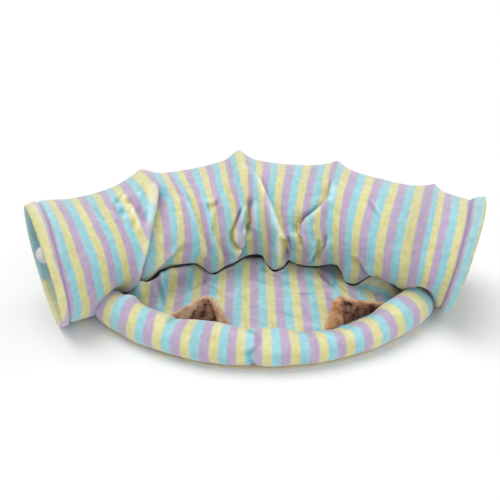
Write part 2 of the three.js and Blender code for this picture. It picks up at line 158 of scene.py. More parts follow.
def grid_quads(rows: int, columns: int, close_rows: bool = False, close_columns: bool = False) -> Array:
    """Lists the faces of a grid of points.

    Args:
        rows: Number of rows.
        columns: Points in a row.
        close_rows: Whether the last row joins the first.
        close_columns: Whether the last column joins the first.

    Returns:
        Four point numbers for each face.
    """
    i, j = np.meshgrid(np.arange(rows if close_rows else rows - 1),
                       np.arange(columns if close_columns else columns - 1), indexing="ij")
    after_i, after_j = (i + 1) % rows, (j + 1) % columns
    corners = [i * columns + j, i * columns + after_j, after_i * columns + after_j, after_i * columns + j]
    return np.stack(corners, -1).reshape(-1, 4)


@dataclass
class Surface:
    """Points in millimetres, the faces between them, and values marked on the points."""

    points: Array
    faces: list[Sequence[int]]
    marks: dict[str, Array] = field(default_factory=dict)

    @classmethod
    def from_loops(cls, loops: Array, marks: dict[str, Array], close_rows: bool = False) -> "Surface":
        """Joins rows of closed loops into a closed surface.

        Args:
            loops: Rows by loop points by 3.
            marks: Values for each point, rows by loop points.
            close_rows: Whether the last loop joins the first; if not, both ends are closed with one face.

        Returns:
            The closed surface.
        """
        rows, columns = loops.shape[:2]
        faces = grid_quads(rows, columns, close_rows, True).tolist()
        if not close_rows:
            faces.append(list(range(columns))[::-1])
            faces.append(list(range((rows - 1) * columns, rows * columns)))
        return cls(loops.reshape(-1, 3), faces, {name: value.ravel() for name, value in marks.items()})

    def joined(self, other: "Surface") -> "Surface":
        """Puts another surface with the same marks into one with this.

        Args:
            other: The surface to add.

        Returns:
            Both in one surface.
        """
        start = len(self.points)
        faces = self.faces + [[start + corner for corner in face] for face in other.faces]
        marks = {name: np.concatenate([value, other.marks[name]]) for name, value in self.marks.items()}
        return Surface(np.concatenate([self.points, other.points]), faces, marks)

    def to_object(self, name: str) -> bpy.types.Object:
        """Makes a smooth-shaded mesh object, in metres.

        Args:
            name: Name of the piece.

        Returns:
            The new object, in the scene.
        """
        mesh = bpy.data.meshes.new(name)
        mesh.from_pydata((self.points * MM).tolist(), [], self.faces)
        mesh.polygons.foreach_set("use_smooth", [True] * len(mesh.polygons))
        for mark, value in self.marks.items():
            mesh.attributes.new(mark, "FLOAT", "POINT").data.foreach_set("value", value.astype(np.float32))
        mesh.validate()
        mesh.update()
        piece = bpy.data.objects.new(name, mesh)
        bpy.context.scene.collection.objects.link(piece)
        return piece

    def to_piece(self, name: str, node: str, slot: str, finish: "Finish") -> bpy.types.Object:
        """Makes a dressed piece that rides on the body and stands for one node of the part.

        Args:
            name: Name of the piece.
            node: Node of the part that it replaces.
            slot: Material slot of the part's record; not used.
            finish: What it is dressed in.

        Returns:
            The new object, in the scene.
        """
        piece = self.to_object(name)
        piece.data.materials.append(finish.material())
        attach(piece, BODY)
        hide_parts(node)
        return piece


class Signal:
    """An output socket of a shader graph, with operators that add Math nodes."""

    def __init__(self, graph: "ShaderGraph", socket: bpy.types.NodeSocket) -> None:
        """Wraps one socket of a graph."""
        self.graph = graph
        self.socket = socket

    def _math(self, operation: str, first: "Operand", second: "Operand" = 0.0) -> "Signal":
        """Adds one Math node."""
        return self.graph.node("ShaderNodeMath", {"operation": operation}, {0: first, 1: second})

    def __add__(self, other: "Operand") -> "Signal":
        """Adds a number or signal."""
        return self._math("ADD", self, other)

    __radd__ = __add__

    def __sub__(self, other: "Operand") -> "Signal":
        """Takes a number or signal away."""
        return self._math("SUBTRACT", self, other)

    def __rsub__(self, other: "Operand") -> "Signal":
        """Takes this signal away from a number."""
        return self._math("SUBTRACT", other, self)

    def __mul__(self, other: "Operand") -> "Signal":
        """Multiplies by a number or signal."""
        return self._math("MULTIPLY", self, other)

    __rmul__ = __mul__

    def __truediv__(self, other: "Operand") -> "Signal":
        """Divides by a number or signal."""
        return self._math("DIVIDE", self, other)

    def __rtruediv__(self, other: "Operand") -> "Signal":
        """Divides a number by this signal."""
        return self._math("DIVIDE", other, self)

    def fraction(self) -> "Signal":
        """Keeps what follows the decimal point."""
        return self._math("FRACT", self)


Operand = Union[float, Signal]
Paint = Union[Signal, Sequence[float]]


class ShaderGraph:
    """The node graph of one new material."""

    def __init__(self, name: str) -> None:
        """Makes an empty material.

        Args:
            name: Name of the material.
        """
        self.material = bpy.data.materials.new(name)
        self.material.use_nodes = True
        self.tree = self.material.node_tree
        self.tree.nodes.clear()

    def node(self, kind: str, settings: dict | None = None, inputs: dict | None = None,
             output: Union[int, str] = 0) -> Signal:
        """Adds a node.

        Args:
            kind: Blender's type of the node.
            settings: Properties of the node, or a ramp's stops, which are set first.
            inputs: Values or signals of its sockets, by name or number.
            output: The socket to hand back, by name or number.

        Returns:
            The chosen output.
        """
        made = self.tree.nodes.new(kind)
        for name, value in (settings or {}).items():
            if name == "stops":
                self._set_stops(made.color_ramp, value)
            else:
                setattr(made, name, value)
        for name, value in (inputs or {}).items():
            if isinstance(value, Signal):
                self.tree.links.new(value.socket, made.inputs[name])
            else:
                made.inputs[name].default_value = value
        return Signal(self, made.outputs[output])

    @staticmethod
    def _set_stops(ramp: bpy.types.ColorRamp, stops: Sequence[tuple[float, Colour]]) -> None:
        """Gives a colour ramp its stops.

        Args:
            ramp: The ramp of a node.
            stops: Positions and colours, in order.
        """
        while len(ramp.elements) < len(stops):
            ramp.elements.new(1.0)
        for element, (position, colour) in zip(ramp.elements, stops):
            element.position = position
            element.color = (*colour, 1.0)

    def place(self) -> Signal:
        """Gives the point's place in the part's frame, in metres."""
        return self.node("ShaderNodeTexCoord", output="Object")

    def mark(self, name: str) -> Signal:
        """Reads a value marked on the mesh."""
        return self.node("ShaderNodeAttribute", {"attribute_name": name}, output="Fac")

    def noise(self, place: Signal, size: float, detail: float) -> Signal:
        """Adds a cloudy noise.

        Args:
            place: Where the noise is read.
            size: Size of its clouds in metres.
            detail: Number of finer layers.

        Returns:
            Noise from 0 to 1.
        """
        return self.node("ShaderNodeTexNoise", inputs={"Vector": place, "Scale": 1 / size, "Detail": detail})

    def ramp(self, value: Signal, stops: Sequence[tuple[float, Colour]]) -> Signal:
        """Turns a value from 0 to 1 into a colour."""
        return self.node("ShaderNodeValToRGB", {"stops": stops}, {"Fac": value})

    def mix(self, share: Operand, first: Paint, second: Paint, blend: str = "MIX") -> Signal:
        """Mixes two colours.

        Args:
            share: How much of the second is taken.
            first: Colour below.
            second: Colour above.
            blend: Blender's way of blending.

        Returns:
            The mixed colour.
        """
        return self.node("ShaderNodeMix", {"data_type": "RGBA", "blend_type": blend},
                         {0: share, 6: first, 7: second}, 2)

    def bump(self, height: Signal, depth: float, strength: float) -> Signal:
        """Turns a height into a bumpy normal.

        Args:
            height: Height from 0 to 1.
            depth: Depth of the relief in metres.
            strength: Share of the relief that shows.

        Returns:
            The normal.
        """
        return self.node("ShaderNodeBump", inputs={"Strength": strength, "Distance": depth, "Height": height})

    def finish(self, inputs: dict) -> bpy.types.Material:
        """Closes the graph with one surface shader.

        Args:
            inputs: Values or signals of the shader's sockets.

        Returns:
            The material.
        """
        shader = self.node("ShaderNodeBsdfPrincipled", inputs=inputs)
        self.tree.links.new(shader.socket, self.tree.nodes.new("ShaderNodeOutputMaterial").inputs["Surface"])
        return self.material


class StripeColour(Enum):
    """The stripes' colours, in the order in which they repeat."""

    LAVENDER = srgb(183, 164, 192)
    AQUA = srgb(148, 203, 212)
    YELLOW = srgb(215, 209, 149)


@dataclass(frozen=True)
class StripedPlush:
    """Short velvety pile in three colours of stripe, with painted highlight on ridges and tops and painted
    shade in folds.
    """

    name: str
    blur: float = 0.04
    # How much the painted light mark takes out saturation and changes brightness, and the brightness it
    # starts from: painted highlight on ridges and tops, painted shade in folds
    fade: float = 0.24
    shade: float = 0.17
    level: float = 0.96
    wobble: float = 0.2
    wobble_size: float = 0.006
    mottle_size: float = 0.012
    nap_size: float = 0.07
    pile_size: float = 0.0014
    tones: tuple[float, float, float, float] = (0.5, 0.34, 0.46, 0.2)
    roughness: tuple[float, float] = (0.82, 0.16)
    bumps: tuple[float, float] = (0.35, 0.65)
    relief: float = 0.0025
    relief_share: float = 0.7
    gloss: float = 0.1
    sheen: float = 0.6
    sheen_roughness: float = 0.5

    def stops(self) -> list[tuple[float, Colour]]:
        """Lists the ramp's stops: one band for each colour, with a soft change between them.

        Returns:
            Positions from 0 to 1 and colours.
        """
        colours = [colour.value for colour in StripeColour]
        seam = tuple((a + b) / 2 for a, b in zip(colours[-1], colours[0]))
        stops = [(0.0, seam)]
        for number, colour in enumerate(colours):
            stops.append((number / len(colours) + self.blur, colour))
            stops.append(((number + 1) / len(colours) - self.blur, colour))
        return [*stops, (1.0, seam)]

    def material(self) -> bpy.types.Material:
        """Makes the plush, striped by the number marked on the mesh, with painted highlight and shade from
        the painted light mark.

        Returns:
            The material.
        """
        graph = ShaderGraph(self.name)
        place = graph.place()
        pile = graph.noise(place, self.pile_size, 2)
        mottle = graph.noise(place, self.mottle_size, 4)
        nap = graph.noise(place, self.nap_size, 1)
        edge = (graph.noise(place, self.wobble_size, 2) - 0.5) * self.wobble
        phase = ((graph.mark(STRIPE) + edge + 0.5) / len(StripeColour)).fraction()
        relief = graph.mark(PAINTED_LIGHT)
        base, of_pile, of_mottle, of_nap = self.tones
        tone = base + pile * of_pile + mottle * of_mottle + nap * of_nap
        # Painted light: the mark pales and brightens ridges and tops, and deepens and darkens folds
        striped = graph.node("ShaderNodeHueSaturation", inputs={
            "Color": graph.ramp(phase, self.stops()),
            "Saturation": 1.0 - relief * self.fade,
            "Value": self.level + relief * self.shade,
        })
        colour = graph.mix(1.0, striped, tone, "MULTIPLY")
        height = pile * self.bumps[0] + mottle * self.bumps[1]
        return graph.finish({
            "Base Color": colour,
            "Roughness": self.roughness[0] + mottle * self.roughness[1],
            "Normal": graph.bump(height, self.relief, self.relief_share),
            "Specular IOR Level": self.gloss,
            "Sheen Weight": self.sheen,
            "Sheen Roughness": self.sheen_roughness,
        })


@dataclass(frozen=True)
class FurPile:
    """Fluffy pile whose tips are paler than its roots."""

    name: str
    root: Colour
    tip: Colour
    patch: Colour
    patch_size: float = 0.012
    patch_edges: tuple[float, float] = (0.45, 0.62)
    strand_size: float = 0.0025
    tones: tuple[float, float] = (0.6, 0.8)
    roughness: tuple[float, float] = (0.8, 0.15)
    relief: float = 0.001
    relief_share: float = 0.5
    gloss: float = 0.2
    sheen: float = 0.3
    sheen_roughness: float = 0.5

    def material(self) -> bpy.types.Material:
        """Makes the pile, paler towards a strand's tip; on the ears' inner panels the mark also carries
        painted shade.

        Returns:
            The material.
        """
        graph = ShaderGraph(self.name)
        place = graph.place()
        patches = graph.noise(place, self.patch_size, 3)
        strands = graph.noise(place, self.strand_size, 2)
        colour = graph.mix(graph.mark(TIP_AND_PAINTED_SHADE), (*self.root, 1.0), (*self.tip, 1.0))
        bare, full = self.patch_edges
        spots = graph.ramp(patches, ((bare, (0.0, 0.0, 0.0)), (full, (1.0, 1.0, 1.0))))
        colour = graph.mix(spots, colour, (*self.patch, 1.0))
        colour = graph.mix(1.0, colour, self.tones[0] + strands * self.tones[1], "MULTIPLY")
        return graph.finish({
            "Base Color": colour,
            "Roughness": self.roughness[0] + strands * self.roughness[1],
            "Normal": graph.bump(strands, self.relief, self.relief_share),
            "Specular IOR Level": self.gloss,
            "Sheen Weight": self.sheen,
            "Sheen Roughness": self.sheen_roughness,
        })


@dataclass(frozen=True)
class PlainWeave:
    """Thin plain cloth with a fine over-and-under weave."""

    name: str
    colour: Colour
    thread: float = 0.0012
    distortion: float = 0.6
    mottle_size: float = 0.03
    tones: tuple[float, float, float] = (0.78, 0.18, 0.16)
    roughness: tuple[float, float] = (0.85, 0.1)
    relief: float = 0.0004
    relief_share: float = 0.6
    gloss: float = 0.2

    def material(self) -> bpy.types.Material:
        """Makes the woven cloth.

        Returns:
            The material.
        """
        graph = ShaderGraph(self.name)
        place = graph.place()
        threads = [graph.node("ShaderNodeTexWave", {"wave_type": "BANDS", "bands_direction": way},
                              {"Vector": place, "Scale": BAND_PERIOD / self.thread,
                               "Distortion": self.distortion}, "Fac")
                   for way in ("X", "Y")]
        weave = threads[0] * threads[1]
        mottle = graph.noise(place, self.mottle_size, 3)
        base, of_weave, of_mottle = self.tones
        colour = graph.mix(1.0, (*self.colour, 1.0), base + weave * of_weave + mottle * of_mottle, "MULTIPLY")
        return graph.finish({
            "Base Color": colour,
            "Roughness": self.roughness[0] + mottle * self.roughness[1],
            "Normal": graph.bump(weave, self.relief, self.relief_share),
            "Specular IOR Level": self.gloss,
        })


@dataclass(frozen=True)
class StudioFloor:
    """Matt pale floor."""

    name: str
    colour: Colour = (0.9, 0.9, 0.9)
    mottle_size: float = 0.4
    tones: tuple[float, float] = (0.98, 0.03)
    roughness: float = 0.9
    gloss: float = 0.1

    def material(self) -> bpy.types.Material:
        """Makes the floor's paint, a little uneven.

        Returns:
            The material.
        """
        graph = ShaderGraph(self.name)
        mottle = graph.noise(graph.place(), self.mottle_size, 2)
        colour = graph.mix(1.0, (*self.colour, 1.0), self.tones[0] + mottle * self.tones[1], "MULTIPLY")
        return graph.finish({
            "Base Color": colour,
            "Roughness": self.roughness,
            "Specular IOR Level": self.gloss,
        })


Finish = Union[StripedPlush, FurPile, PlainWeave]


class FoldRun(Enum):
    """Which way a fold runs over the tunnel."""

    AROUND = "around"
    ALONG = "along"


@dataclass(frozen=True)
class Fold:
    """A ridge of cloth that laps over a trough beside it.

    The path's pairs are angle and station for a fold that runs around the tunnel, and station and
    angle for one that runs along it. With side 1 the ridge is on the lower side of the path.
    """

    path: tuple[tuple[float, float], ...]
    side: int
    ridge: float
    trough: float
    edge: float
    run: float
    lap: float = 0.0
    fade: float = 14.0
    way: FoldRun = FoldRun.AROUND


@dataclass(frozen=True)
class Swell:
    """A broad swelling or hollow of the cloth: half sizes in millimetres along and degrees around."""

    station: float
    angle: float
    height: float
    along: float
    around: float


@dataclass(frozen=True)
class Hoop:
    """A sewn-in hoop: its foot on the floor, and its turn and lean in degrees."""

    x: float
    y: float
    turn: float
    lean: float


@dataclass(frozen=True)
class Span:
    """The cloth between two hoops: drop of the roof and pull-in of the walls."""

    sag: float
    waist: float


HOOPS = (
    Hoop(-406, -104, 28.6, -1.5), Hoop(-240, 52, 20, 10), Hoop(-14, 160, 6, -4),
    Hoop(188, 112, -14, -2), Hoop(360, -14, -20, 1), Hoop(431, -66, -20, 8),
)
SPANS = (Span(27, 3), Span(26, 4), Span(29, 4), Span(31, 4), Span(23, 4))

OVERLAP = Fold(((8, 1.1), (54, 1), (82, 0.91), (95, 0.87), (126, 0.84), (150, 0.85)), 1, 8, 22, 6, 26, 9)
FOLDS = (
    OVERLAP,
    Fold(((76, 1.3), (96, 1.14), (107, 1.05), (130, 0.94)), 1, 6, 8, 7, 32, 6),
    Fold(((58, 1.96), (66, 1.94), (74, 1.89), (82, 1.85), (91, 1.845), (102, 1.88), (112, 1.92)),
         -1, 5, 12, 5, 12, 4, 8),
    Fold(((48, 2.11), (66, 2.06), (78, 2.05), (93, 1.99), (106, 1.93)), -1, 4, 14, 6, 14, 4, 10),
    Fold(((80, 1.98), (96, 1.95), (104, 1.92), (117, 1.87), (134, 1.81)), 1, 8, 13, 6, 24, 6, 10),
    Fold(((12, 2.13), (55, 2.34), (83, 2.46), (118, 2.52)), 1, 12, 7, 8, 32, 4),
    Fold(((80, 2.42), (95, 2.43), (126, 2.445)), 1, 2, 24, 6, 14, 2, 14),
    Fold(((22, 3.02), (44, 3), (50, 2.9), (55, 2.8), (59, 2.735), (66, 2.69), (84, 2.68)),
         -1, 5, 11, 6, 26, 5),
    Fold(((86, 3.36), (104, 3.48), (122, 3.64)), -1, 4, 8, 8, 28, 5),
)
CREASES = (
    Fold(((-6, 0.72), (12, 0.66), (34, 0.7)), 1, 2, 3, 5, 16, fade=8),
    Fold(((10, 0.78), (30, 0.84), (52, 0.9)), 1, 2, 3, 5, 16, fade=8),
    Fold(((-2, 0.5), (14, 0.52), (30, 0.55)), 1, 1, 2, 5, 14, fade=8),
    Fold(((1.56, 41), (1.64, 43), (1.72, 40)), 1, 3, 5, 4, 14, fade=0.04, way=FoldRun.ALONG),
    Fold(((18, 3.4), (27, 3.46), (38, 3.54)), -1, 2, 3, 5, 14, fade=6),
    Fold(((64, 2.6), (69, 2.615), (78, 2.64), (82, 2.69), (90, 2.71), (100, 2.72)), -1, 3, 7, 5, 14, 2, 8),
    Fold(((82, 2.885), (104, 2.866), (117, 2.81), (128, 2.77)), 1, 2, 7, 5, 10, 2, 10),
    Fold(((78, 3.03), (94, 3.006), (104, 2.95), (122, 2.9)), -1, 3, 6, 5, 13, 2, 10),
    Fold(((18, 1.34), (50, 1.44), (80, 1.52), (114, 1.6)), 1, 4, 4, 8, 22, fade=16),
    Fold(((44, 1.68), (70, 1.61), (92, 1.67), (126, 1.75)), 1, 3.5, 4, 7, 18, fade=14),
    Fold(((30, 1.78), (50, 1.82), (66, 1.86)), 1, 2, 3, 7, 18, fade=10),
)
SWELLS = (
    Swell(0, 0, -7, 16, 60), Swell(0, 180, -4, 45, 45), Swell(0.17, 0, 9, 36, 45),
    Swell(0.22, 126, 5, 30, 20), Swell(0.4, 142, 9, 34, 22), Swell(0.64, 0, -11, 52, 40),
    Swell(0.68, 134, -20, 30, 24), Swell(1.02, -6, 8, 36, 30), Swell(1.4, 4, -6, 60, 20),
    Swell(1.63, 130, 12, 26, 20), Swell(2, 0, 9, 26, 40), Swell(2.34, 128, 22, 26, 22),
    Swell(2.72, 66, -8, 34, 17), Swell(3.3, 128, 14, 28, 20), Swell(4.2, 134, -34, 40, 26),
    Swell(5, 154, -13, 50, 38),
)
# Small puckers of the left roof, and a swelling of the cloth beside the roll's right end
PUCKERS = (
    Swell(0.703, 11, 4, 7, 4), Swell(0.741, 32, 4, 7, 5), Swell(0.818, 32, 5, 7, 5),
    Swell(0.895, 18, 4, 8, 5), Swell(0.76, 4, 4, 7, 4), Swell(0.85, 50, 3, 7, 5),
    Swell(0.729, 21, -5.5, 6, 4), Swell(0.805, 13, -5.5, 7, 5), Swell(0.805, 43, -4.5, 7, 5),
    Swell(0.87, 33, -4, 6, 5), Swell(0.729, 1, -4, 7, 4), Swell(0.908, 45, -3.5, 10, 6),
    Swell(4.62, 138, 10, 30, 22),
)
# Where the lower front edge of the belly lies: station and angle. Beyond it the cloth is tucked in.
BELLY = (
    (0.84, 176), (0.9, 150), (0.96, 132), (1.04, 121), (1.12, 109), (1.2, 101), (1.34, 105),
    (1.48, 112), (1.56, 126), (1.63, 146), (1.71, 136), (1.82, 135), (1.95, 124), (2.08, 117),
    (2.16, 117), (2.25, 136), (2.33, 156), (2.41, 146), (2.5, 118), (2.61, 129), (2.75, 132),
    (2.89, 127), (3.05, 114), (3.14, 110), (3.22, 118), (3.31, 146), (3.4, 128), (3.5, 111),
    (3.61, 102), (3.7, 107), (3.8, 112), (3.9, 124), (4.05, 175),
)

# Angles at which the stripes' places are given, and for each third stripe its number and stations there.
# The first table is the cloth left of the overlap, the second the cloth right of it.
STRIPE_ANGLES = (0, 30, 52, 70, 90, 110)
LEFT_STRIPES = (
    (-1, 0.03, 0.03, 0.02, 0.03, 0.05, 0.03), (2, 0.18, 0.21, 0.22, 0.24, 0.24, 0.27),
    (5, 0.39, 0.42, 0.46, 0.48, 0.49, 0.52), (8, 0.58, 0.61, 0.65, 0.675, 0.7, 0.745),
    (11, 0.76, 0.8, 0.84, 0.89, 0.93, 0.96), (14, 0.95, 1.01, 1.05, 1.09, 1.13, 1.16),
    (17, 1.235, 1.24, 1.26, 1.28, 1.3, 1.32),
)
RIGHT_STRIPES = (
    (14, 0.95, 1.07, 1.08, 1.08, 1.08, 1.06), (17, 1.235, 1.27, 1.28, 1.28, 1.27, 1.26),
    (20, 1.38, 1.44, 1.47, 1.5, 1.52, 1.49), (23, 1.61, 1.61, 1.64, 1.65, 1.67, 1.69),
    (26, 1.81, 1.81, 1.86, 1.86, 1.84, 1.86), (29, 2, 2, 2, 2.01, 2.01, 2),
    (32, 2.21, 2.18, 2.2, 2.195, 2.2, 2.21), (35, 2.45, 2.41, 2.38, 2.42, 2.43, 2.42),
    (38, 2.71, 2.68, 2.65, 2.605, 2.65, 2.65), (41, 2.93, 2.93, 2.89, 2.87, 2.93, 2.9),
    (44, 3.12, 3.1, 3.1, 3.105, 3.12, 3.14), (47, 3.37, 3.35, 3.33, 3.33, 3.34, 3.36),
    (50, 3.63, 3.61, 3.6, 3.6, 3.61, 3.62), (53, 3.87, 3.87, 3.86, 3.86, 3.87, 3.865),
    (56, 4.16, 4.18, 4.19, 4.195, 4.2, 4.14), (59, 4.61, 4.63, 4.63, 4.655, 4.64, 4.65),
    (62, 5.05, 5.05, 5.05, 5.05, 5.05, 5.05),
)


@dataclass
class Tunnel:
    """The striped tunnel: one tube of cloth over six hoops, with a puffed hem at each mouth.

    A place on it is a station, counted in hoops from the left mouth, and an angle in degrees from the
    top towards the front.
    """

    hoop_radius: float = 125
    hoop_sink: float = 2.5
    wall: float = 3
    hem_width: float = 22
    lining_hem: float = 20
    hem_puff: float = 3.5
    groove_depth: float = 3.5
    groove_width: float = 3.2
    sag_angle: float = 26
    waist_angle: float = 90
    tuck_depth: float = 26
    tuck_run: float = 24
    tuck_end: float = 178
    ripples: tuple[Ripple, ...] = (Ripple(0.7, 70, 11), Ripple(0.25, 24, 12))
    relief_depth: float = 4.5
    relief_reach: int = 4
    ridge_depth: float = 1.5
    ridge_reach: int = 2
    ridge_share: float = 0.5
    # Painted light by which way the cloth faces: paler where it faces up, darker where it faces down
    painted_top_light: float = 0.5
    painted_top_level: float = 0.4
    # Painted shade on the inside of the tunnel, and painted light on the hem inside the left mouth
    painted_lining_shade: float = 0.2
    painted_hem_light: float = 0.8
    lining_step: int = 2
    station_step: float = 2.9
    front_from: float = -24
    front_to: float = 152
    front_step: float = 1.6
    back_step: float = 7
    stripe_width: float = 18
    stripes: int = 62
    hem_stripe: float = -1
    hem_join: float = -134
    # How far, in stripes, the stripes run askew at the lower front of the left mouth, and where
    low_turn: float = 0.9
    low_reach: float = 60
    low_from: float = 92
    low_run: float = 50
    low_end: float = 20
    plush: StripedPlush = StripedPlush("tunnel_plush")

    def __post_init__(self) -> None:
        """Works out the grid of the cloth and its outer face."""
        feet = np.array([(hoop.x, hoop.y) for hoop in HOOPS])
        lengths = np.linalg.norm(np.diff(feet, axis=0), axis=1)
        self.marks = np.concatenate([[0], np.cumsum(lengths)])
        steps = int(self.marks[-1] / self.station_step)
        self.stations = np.interp(np.linspace(0, self.marks[-1], steps), self.marks, np.arange(len(HOOPS)))
        front = np.arange(self.front_from, self.front_to, self.front_step)
        back = np.arange(self.front_to, self.front_from + 360, self.back_step)
        self.angles = np.concatenate([front, back])
        self.turned = (self.angles + 180) % 360 - 180
        # The second result is the painted light and shade of the outer face
        self.outer, self.relief = self.outer_cloth()
        self.normals = self.grid_normals(self.outer)

    def length_at(self, station: Array) -> Array:
        """Gives the distance along the tunnel from the left mouth, in millimetres."""
        return np.interp(station, np.arange(len(HOOPS)), self.marks)

    def hoop_circle(self, hoop: Hoop, angles: Array) -> Array:
        """Gives the points of one hoop.

        Args:
            hoop: The hoop.
            angles: Degrees from its top towards the front.

        Returns:
            Angles by 3.
        """
        turn, lean = math.radians(hoop.turn), math.radians(hoop.lean)
        up = np.array([math.sin(lean) * math.cos(turn), math.sin(lean) * math.sin(turn), math.cos(lean)])
        out = np.array([math.sin(turn), -math.cos(turn), 0])
        centre = np.array([hoop.x, hoop.y, self.hoop_radius * math.cos(lean) - self.hoop_sink])
        turned = np.radians(angles)[:, None]
        return centre + self.hoop_radius * (np.cos(turned) * up + np.sin(turned) * out)

    def plain_cloth(self, stations: Array, angles: Array) -> Array:
        """Gives the cloth before its folds: straight between hoops, with a sagging roof and drawn-in walls.

        Args:
            stations: Places along the tunnel, in hoops.
            angles: Angles around it, in degrees.

        Returns:
            Stations by angles by 3.
        """
        circles = np.stack([self.hoop_circle(hoop, angles) for hoop in HOOPS])
        span = np.clip(np.floor(stations).astype(int), 0, len(SPANS) - 1)
        share = (stations - span)[:, None]
        points = circles[span] * (1 - share)[..., None] + circles[span + 1] * share[..., None]
        bow = 1 - np.abs(2 * share - 1) ** 3
        roof = np.maximum(0, np.cos(np.radians(angles - self.sag_angle)))
        wall = np.maximum(0, np.cos(np.radians(angles - self.waist_angle)))
        turns = np.array([hoop.turn for hoop in HOOPS])
        turn = np.radians(turns[span] * (1 - share[:, 0]) + turns[span + 1] * share[:, 0])[:, None]
        sag = np.array([one.sag for one in SPANS])[span][:, None]
        waist = np.array([one.waist for one in SPANS])[span][:, None]
        points[..., 0] -= waist * bow * wall * np.sin(turn)
        points[..., 1] += waist * bow * wall * np.cos(turn)
        points[..., 2] -= sag * bow * roof
        return points

    def grid_normals(self, points: Array) -> Array:
        """Gives the outward normals of the cloth.

        Args:
            points: Stations by angles by 3.

        Returns:
            Unit normals in the same shape.
        """
        along = np.gradient(points, axis=0)
        around = np.roll(points, -1, 1) - np.roll(points, 1, 1)
        normals = np.cross(around, along)
        return normals / np.maximum(np.linalg.norm(normals, axis=-1, keepdims=True), 1e-9)

    def fold_across(self, fold: Fold) -> tuple[Array, Array]:
        """Gives the distance across a fold, and how much of it is there, over the grid.

        Args:
            fold: The fold.

        Returns:
            Distance in millimetres from the path, rising from ridge to trough, and the share.
        """
        run, other = np.array(fold.path).T
        if fold.way is FoldRun.AROUND:
            place = self.turned[None]
            path = self.length_at(np.interp(self.turned, run, other))[None]
            across = self.length_at(self.stations)[:, None] - path
        else:
            place = self.stations[:, None]
            turn = self.turned[None] - np.interp(self.stations, run, other)[:, None]
            across = np.radians(turn) * self.hoop_radius
        share = smooth_step((place - run[0]) / fold.fade) * smooth_step((run[-1] - place) / fold.fade)
        return fold.side * across, share

    def cloth_heights(self) -> tuple[Array, Array]:
        """Adds up the folds, creases, swells, puckers, hems and grooves over the grid.

        Returns:
            Height out of the plain cloth, and shift along the tunnel, in millimetres.
        """
        length = self.length_at(self.stations)[:, None]
        angles = self.turned[None]
        height = np.zeros((len(self.stations), len(self.angles)))
        shift = np.zeros_like(height)
        for fold in (*FOLDS, *CREASES):
            across, share = self.fold_across(fold)
            on_ridge, on_trough = across + fold.edge / 2, across - fold.edge / 2
            height += share * fold.ridge * bell(on_ridge, np.where(on_ridge < 0, fold.run, fold.edge))
            height -= share * fold.trough * bell(on_trough, np.where(on_trough > 0, fold.run, fold.edge))
            shift += share * fold.side * fold.lap * bell(on_ridge, fold.edge)
        for swell in (*SWELLS, *PUCKERS):
            height += swell.height * (bell(length - self.length_at(swell.station), swell.along) *
                                      bell((angles - swell.angle + 180) % 360 - 180, swell.around))
        around = np.radians(angles) * self.hoop_radius
        for ripple in self.ripples:
            height += ripple.at(length, around)
        mouth = np.minimum(length, self.marks[-1] - length)
        height += self.hem_swelling(mouth)
        height -= self.groove_depth * bell(mouth - self.hem_width, self.groove_width)
        return height, shift

    def outer_cloth(self) -> tuple[Array, Array]:
        """Works out the outer face of the cloth over the grid, flat where it lies on the floor.

        Returns:
            The points, and the painted light and shade: paler on ridges, darker in troughs and on the cloth
            tucked under the belly's edge.
        """
        points = self.plain_cloth(self.stations, self.angles)
        normals = self.grid_normals(points)
        height, shift = self.cloth_heights()
        tucked, under = self.tuck()
        along = np.gradient(points, axis=0)
        along /= np.linalg.norm(along, axis=-1, keepdims=True)
        points = points + normals * (height - tucked)[..., None] + along * shift[..., None]
        points[..., 2] = np.maximum(points[..., 2], 0)
        broad = relief_of(height, self.relief_reach, self.relief_depth, True)
        thin = relief_of(height, self.ridge_reach, self.ridge_depth, True)
        # Painted light and shade: ridges paler, troughs and the cloth tucked under the belly's edge darker
        return points, broad + self.ridge_share * thin - under

    def tuck(self) -> tuple[Array, Array]:
        """Tucks in the cloth under the belly's edge.

        Returns:
            How far it is tucked in over the grid, and from 0 to 1 how much it is under the edge, which also
            sets its painted shade.
        """
        angles = self.turned[None]
        edge = np.interp(self.stations, *np.array(BELLY).T)[:, None]
        below, end = (angles - edge) / self.tuck_run, (self.tuck_end - angles) / self.tuck_run
        under = smooth_step(below) * smooth_step(end)
        return self.tuck_depth * under, under

    def hem_swelling(self, mouth: Array) -> Array:
        """Gives the hem's swelling between the mouth's edge and the sewn groove."""
        share = np.clip(mouth / self.hem_width, 0, 1)
        return self.hem_puff * np.sqrt(np.maximum(np.sin(np.pi * share), 0))

    def stripe_numbers(self) -> Array:
        """Gives the stripe's number at each point of the outer face, whole in the middle of a stripe.

        Returns:
            Numbers over the grid.
        """
        sides = []
        for table in (LEFT_STRIPES, RIGHT_STRIPES):
            rows = np.array(table)
            # Before the first row the stripes go on as wide as between the first two
            rows = np.concatenate([[3 * rows[0] - 2 * rows[1]], rows])
            places = np.array([np.interp(self.turned, STRIPE_ANGLES, row[1:]) for row in rows])
            columns = [np.interp(self.stations, column, rows[:, 0]) for column in places.T]
            sides.append(np.stack(columns, 1))
        across, _ = self.fold_across(OVERLAP)
        numbers = np.maximum(np.where(across < 0, *sides), self.hem_stripe)
        low = (smooth_step((self.turned - self.low_from) / self.low_run) *
               smooth_step((180 - self.turned) / self.low_end))
        near = bell(self.length_at(self.stations), self.low_reach)
        return numbers + self.low_turn * near[:, None] * low[None]

    def lining_numbers(self) -> Array:
        """Gives the stripe's number on the inner face: a hem of two pieces at the left mouth, then stripes.

        Returns:
            Numbers over the grid.
        """
        length = self.length_at(self.stations)[:, None]
        above = (self.turned[None] > self.hem_join) & (self.turned[None] < 0)
        hem = np.where(above, self.hem_stripe - 1, self.hem_stripe)
        inside = (length - self.lining_hem) / self.stripe_width
        return np.where(length < self.lining_hem, hem, self.hem_stripe - 2 + np.maximum(inside - 0.5, 0))

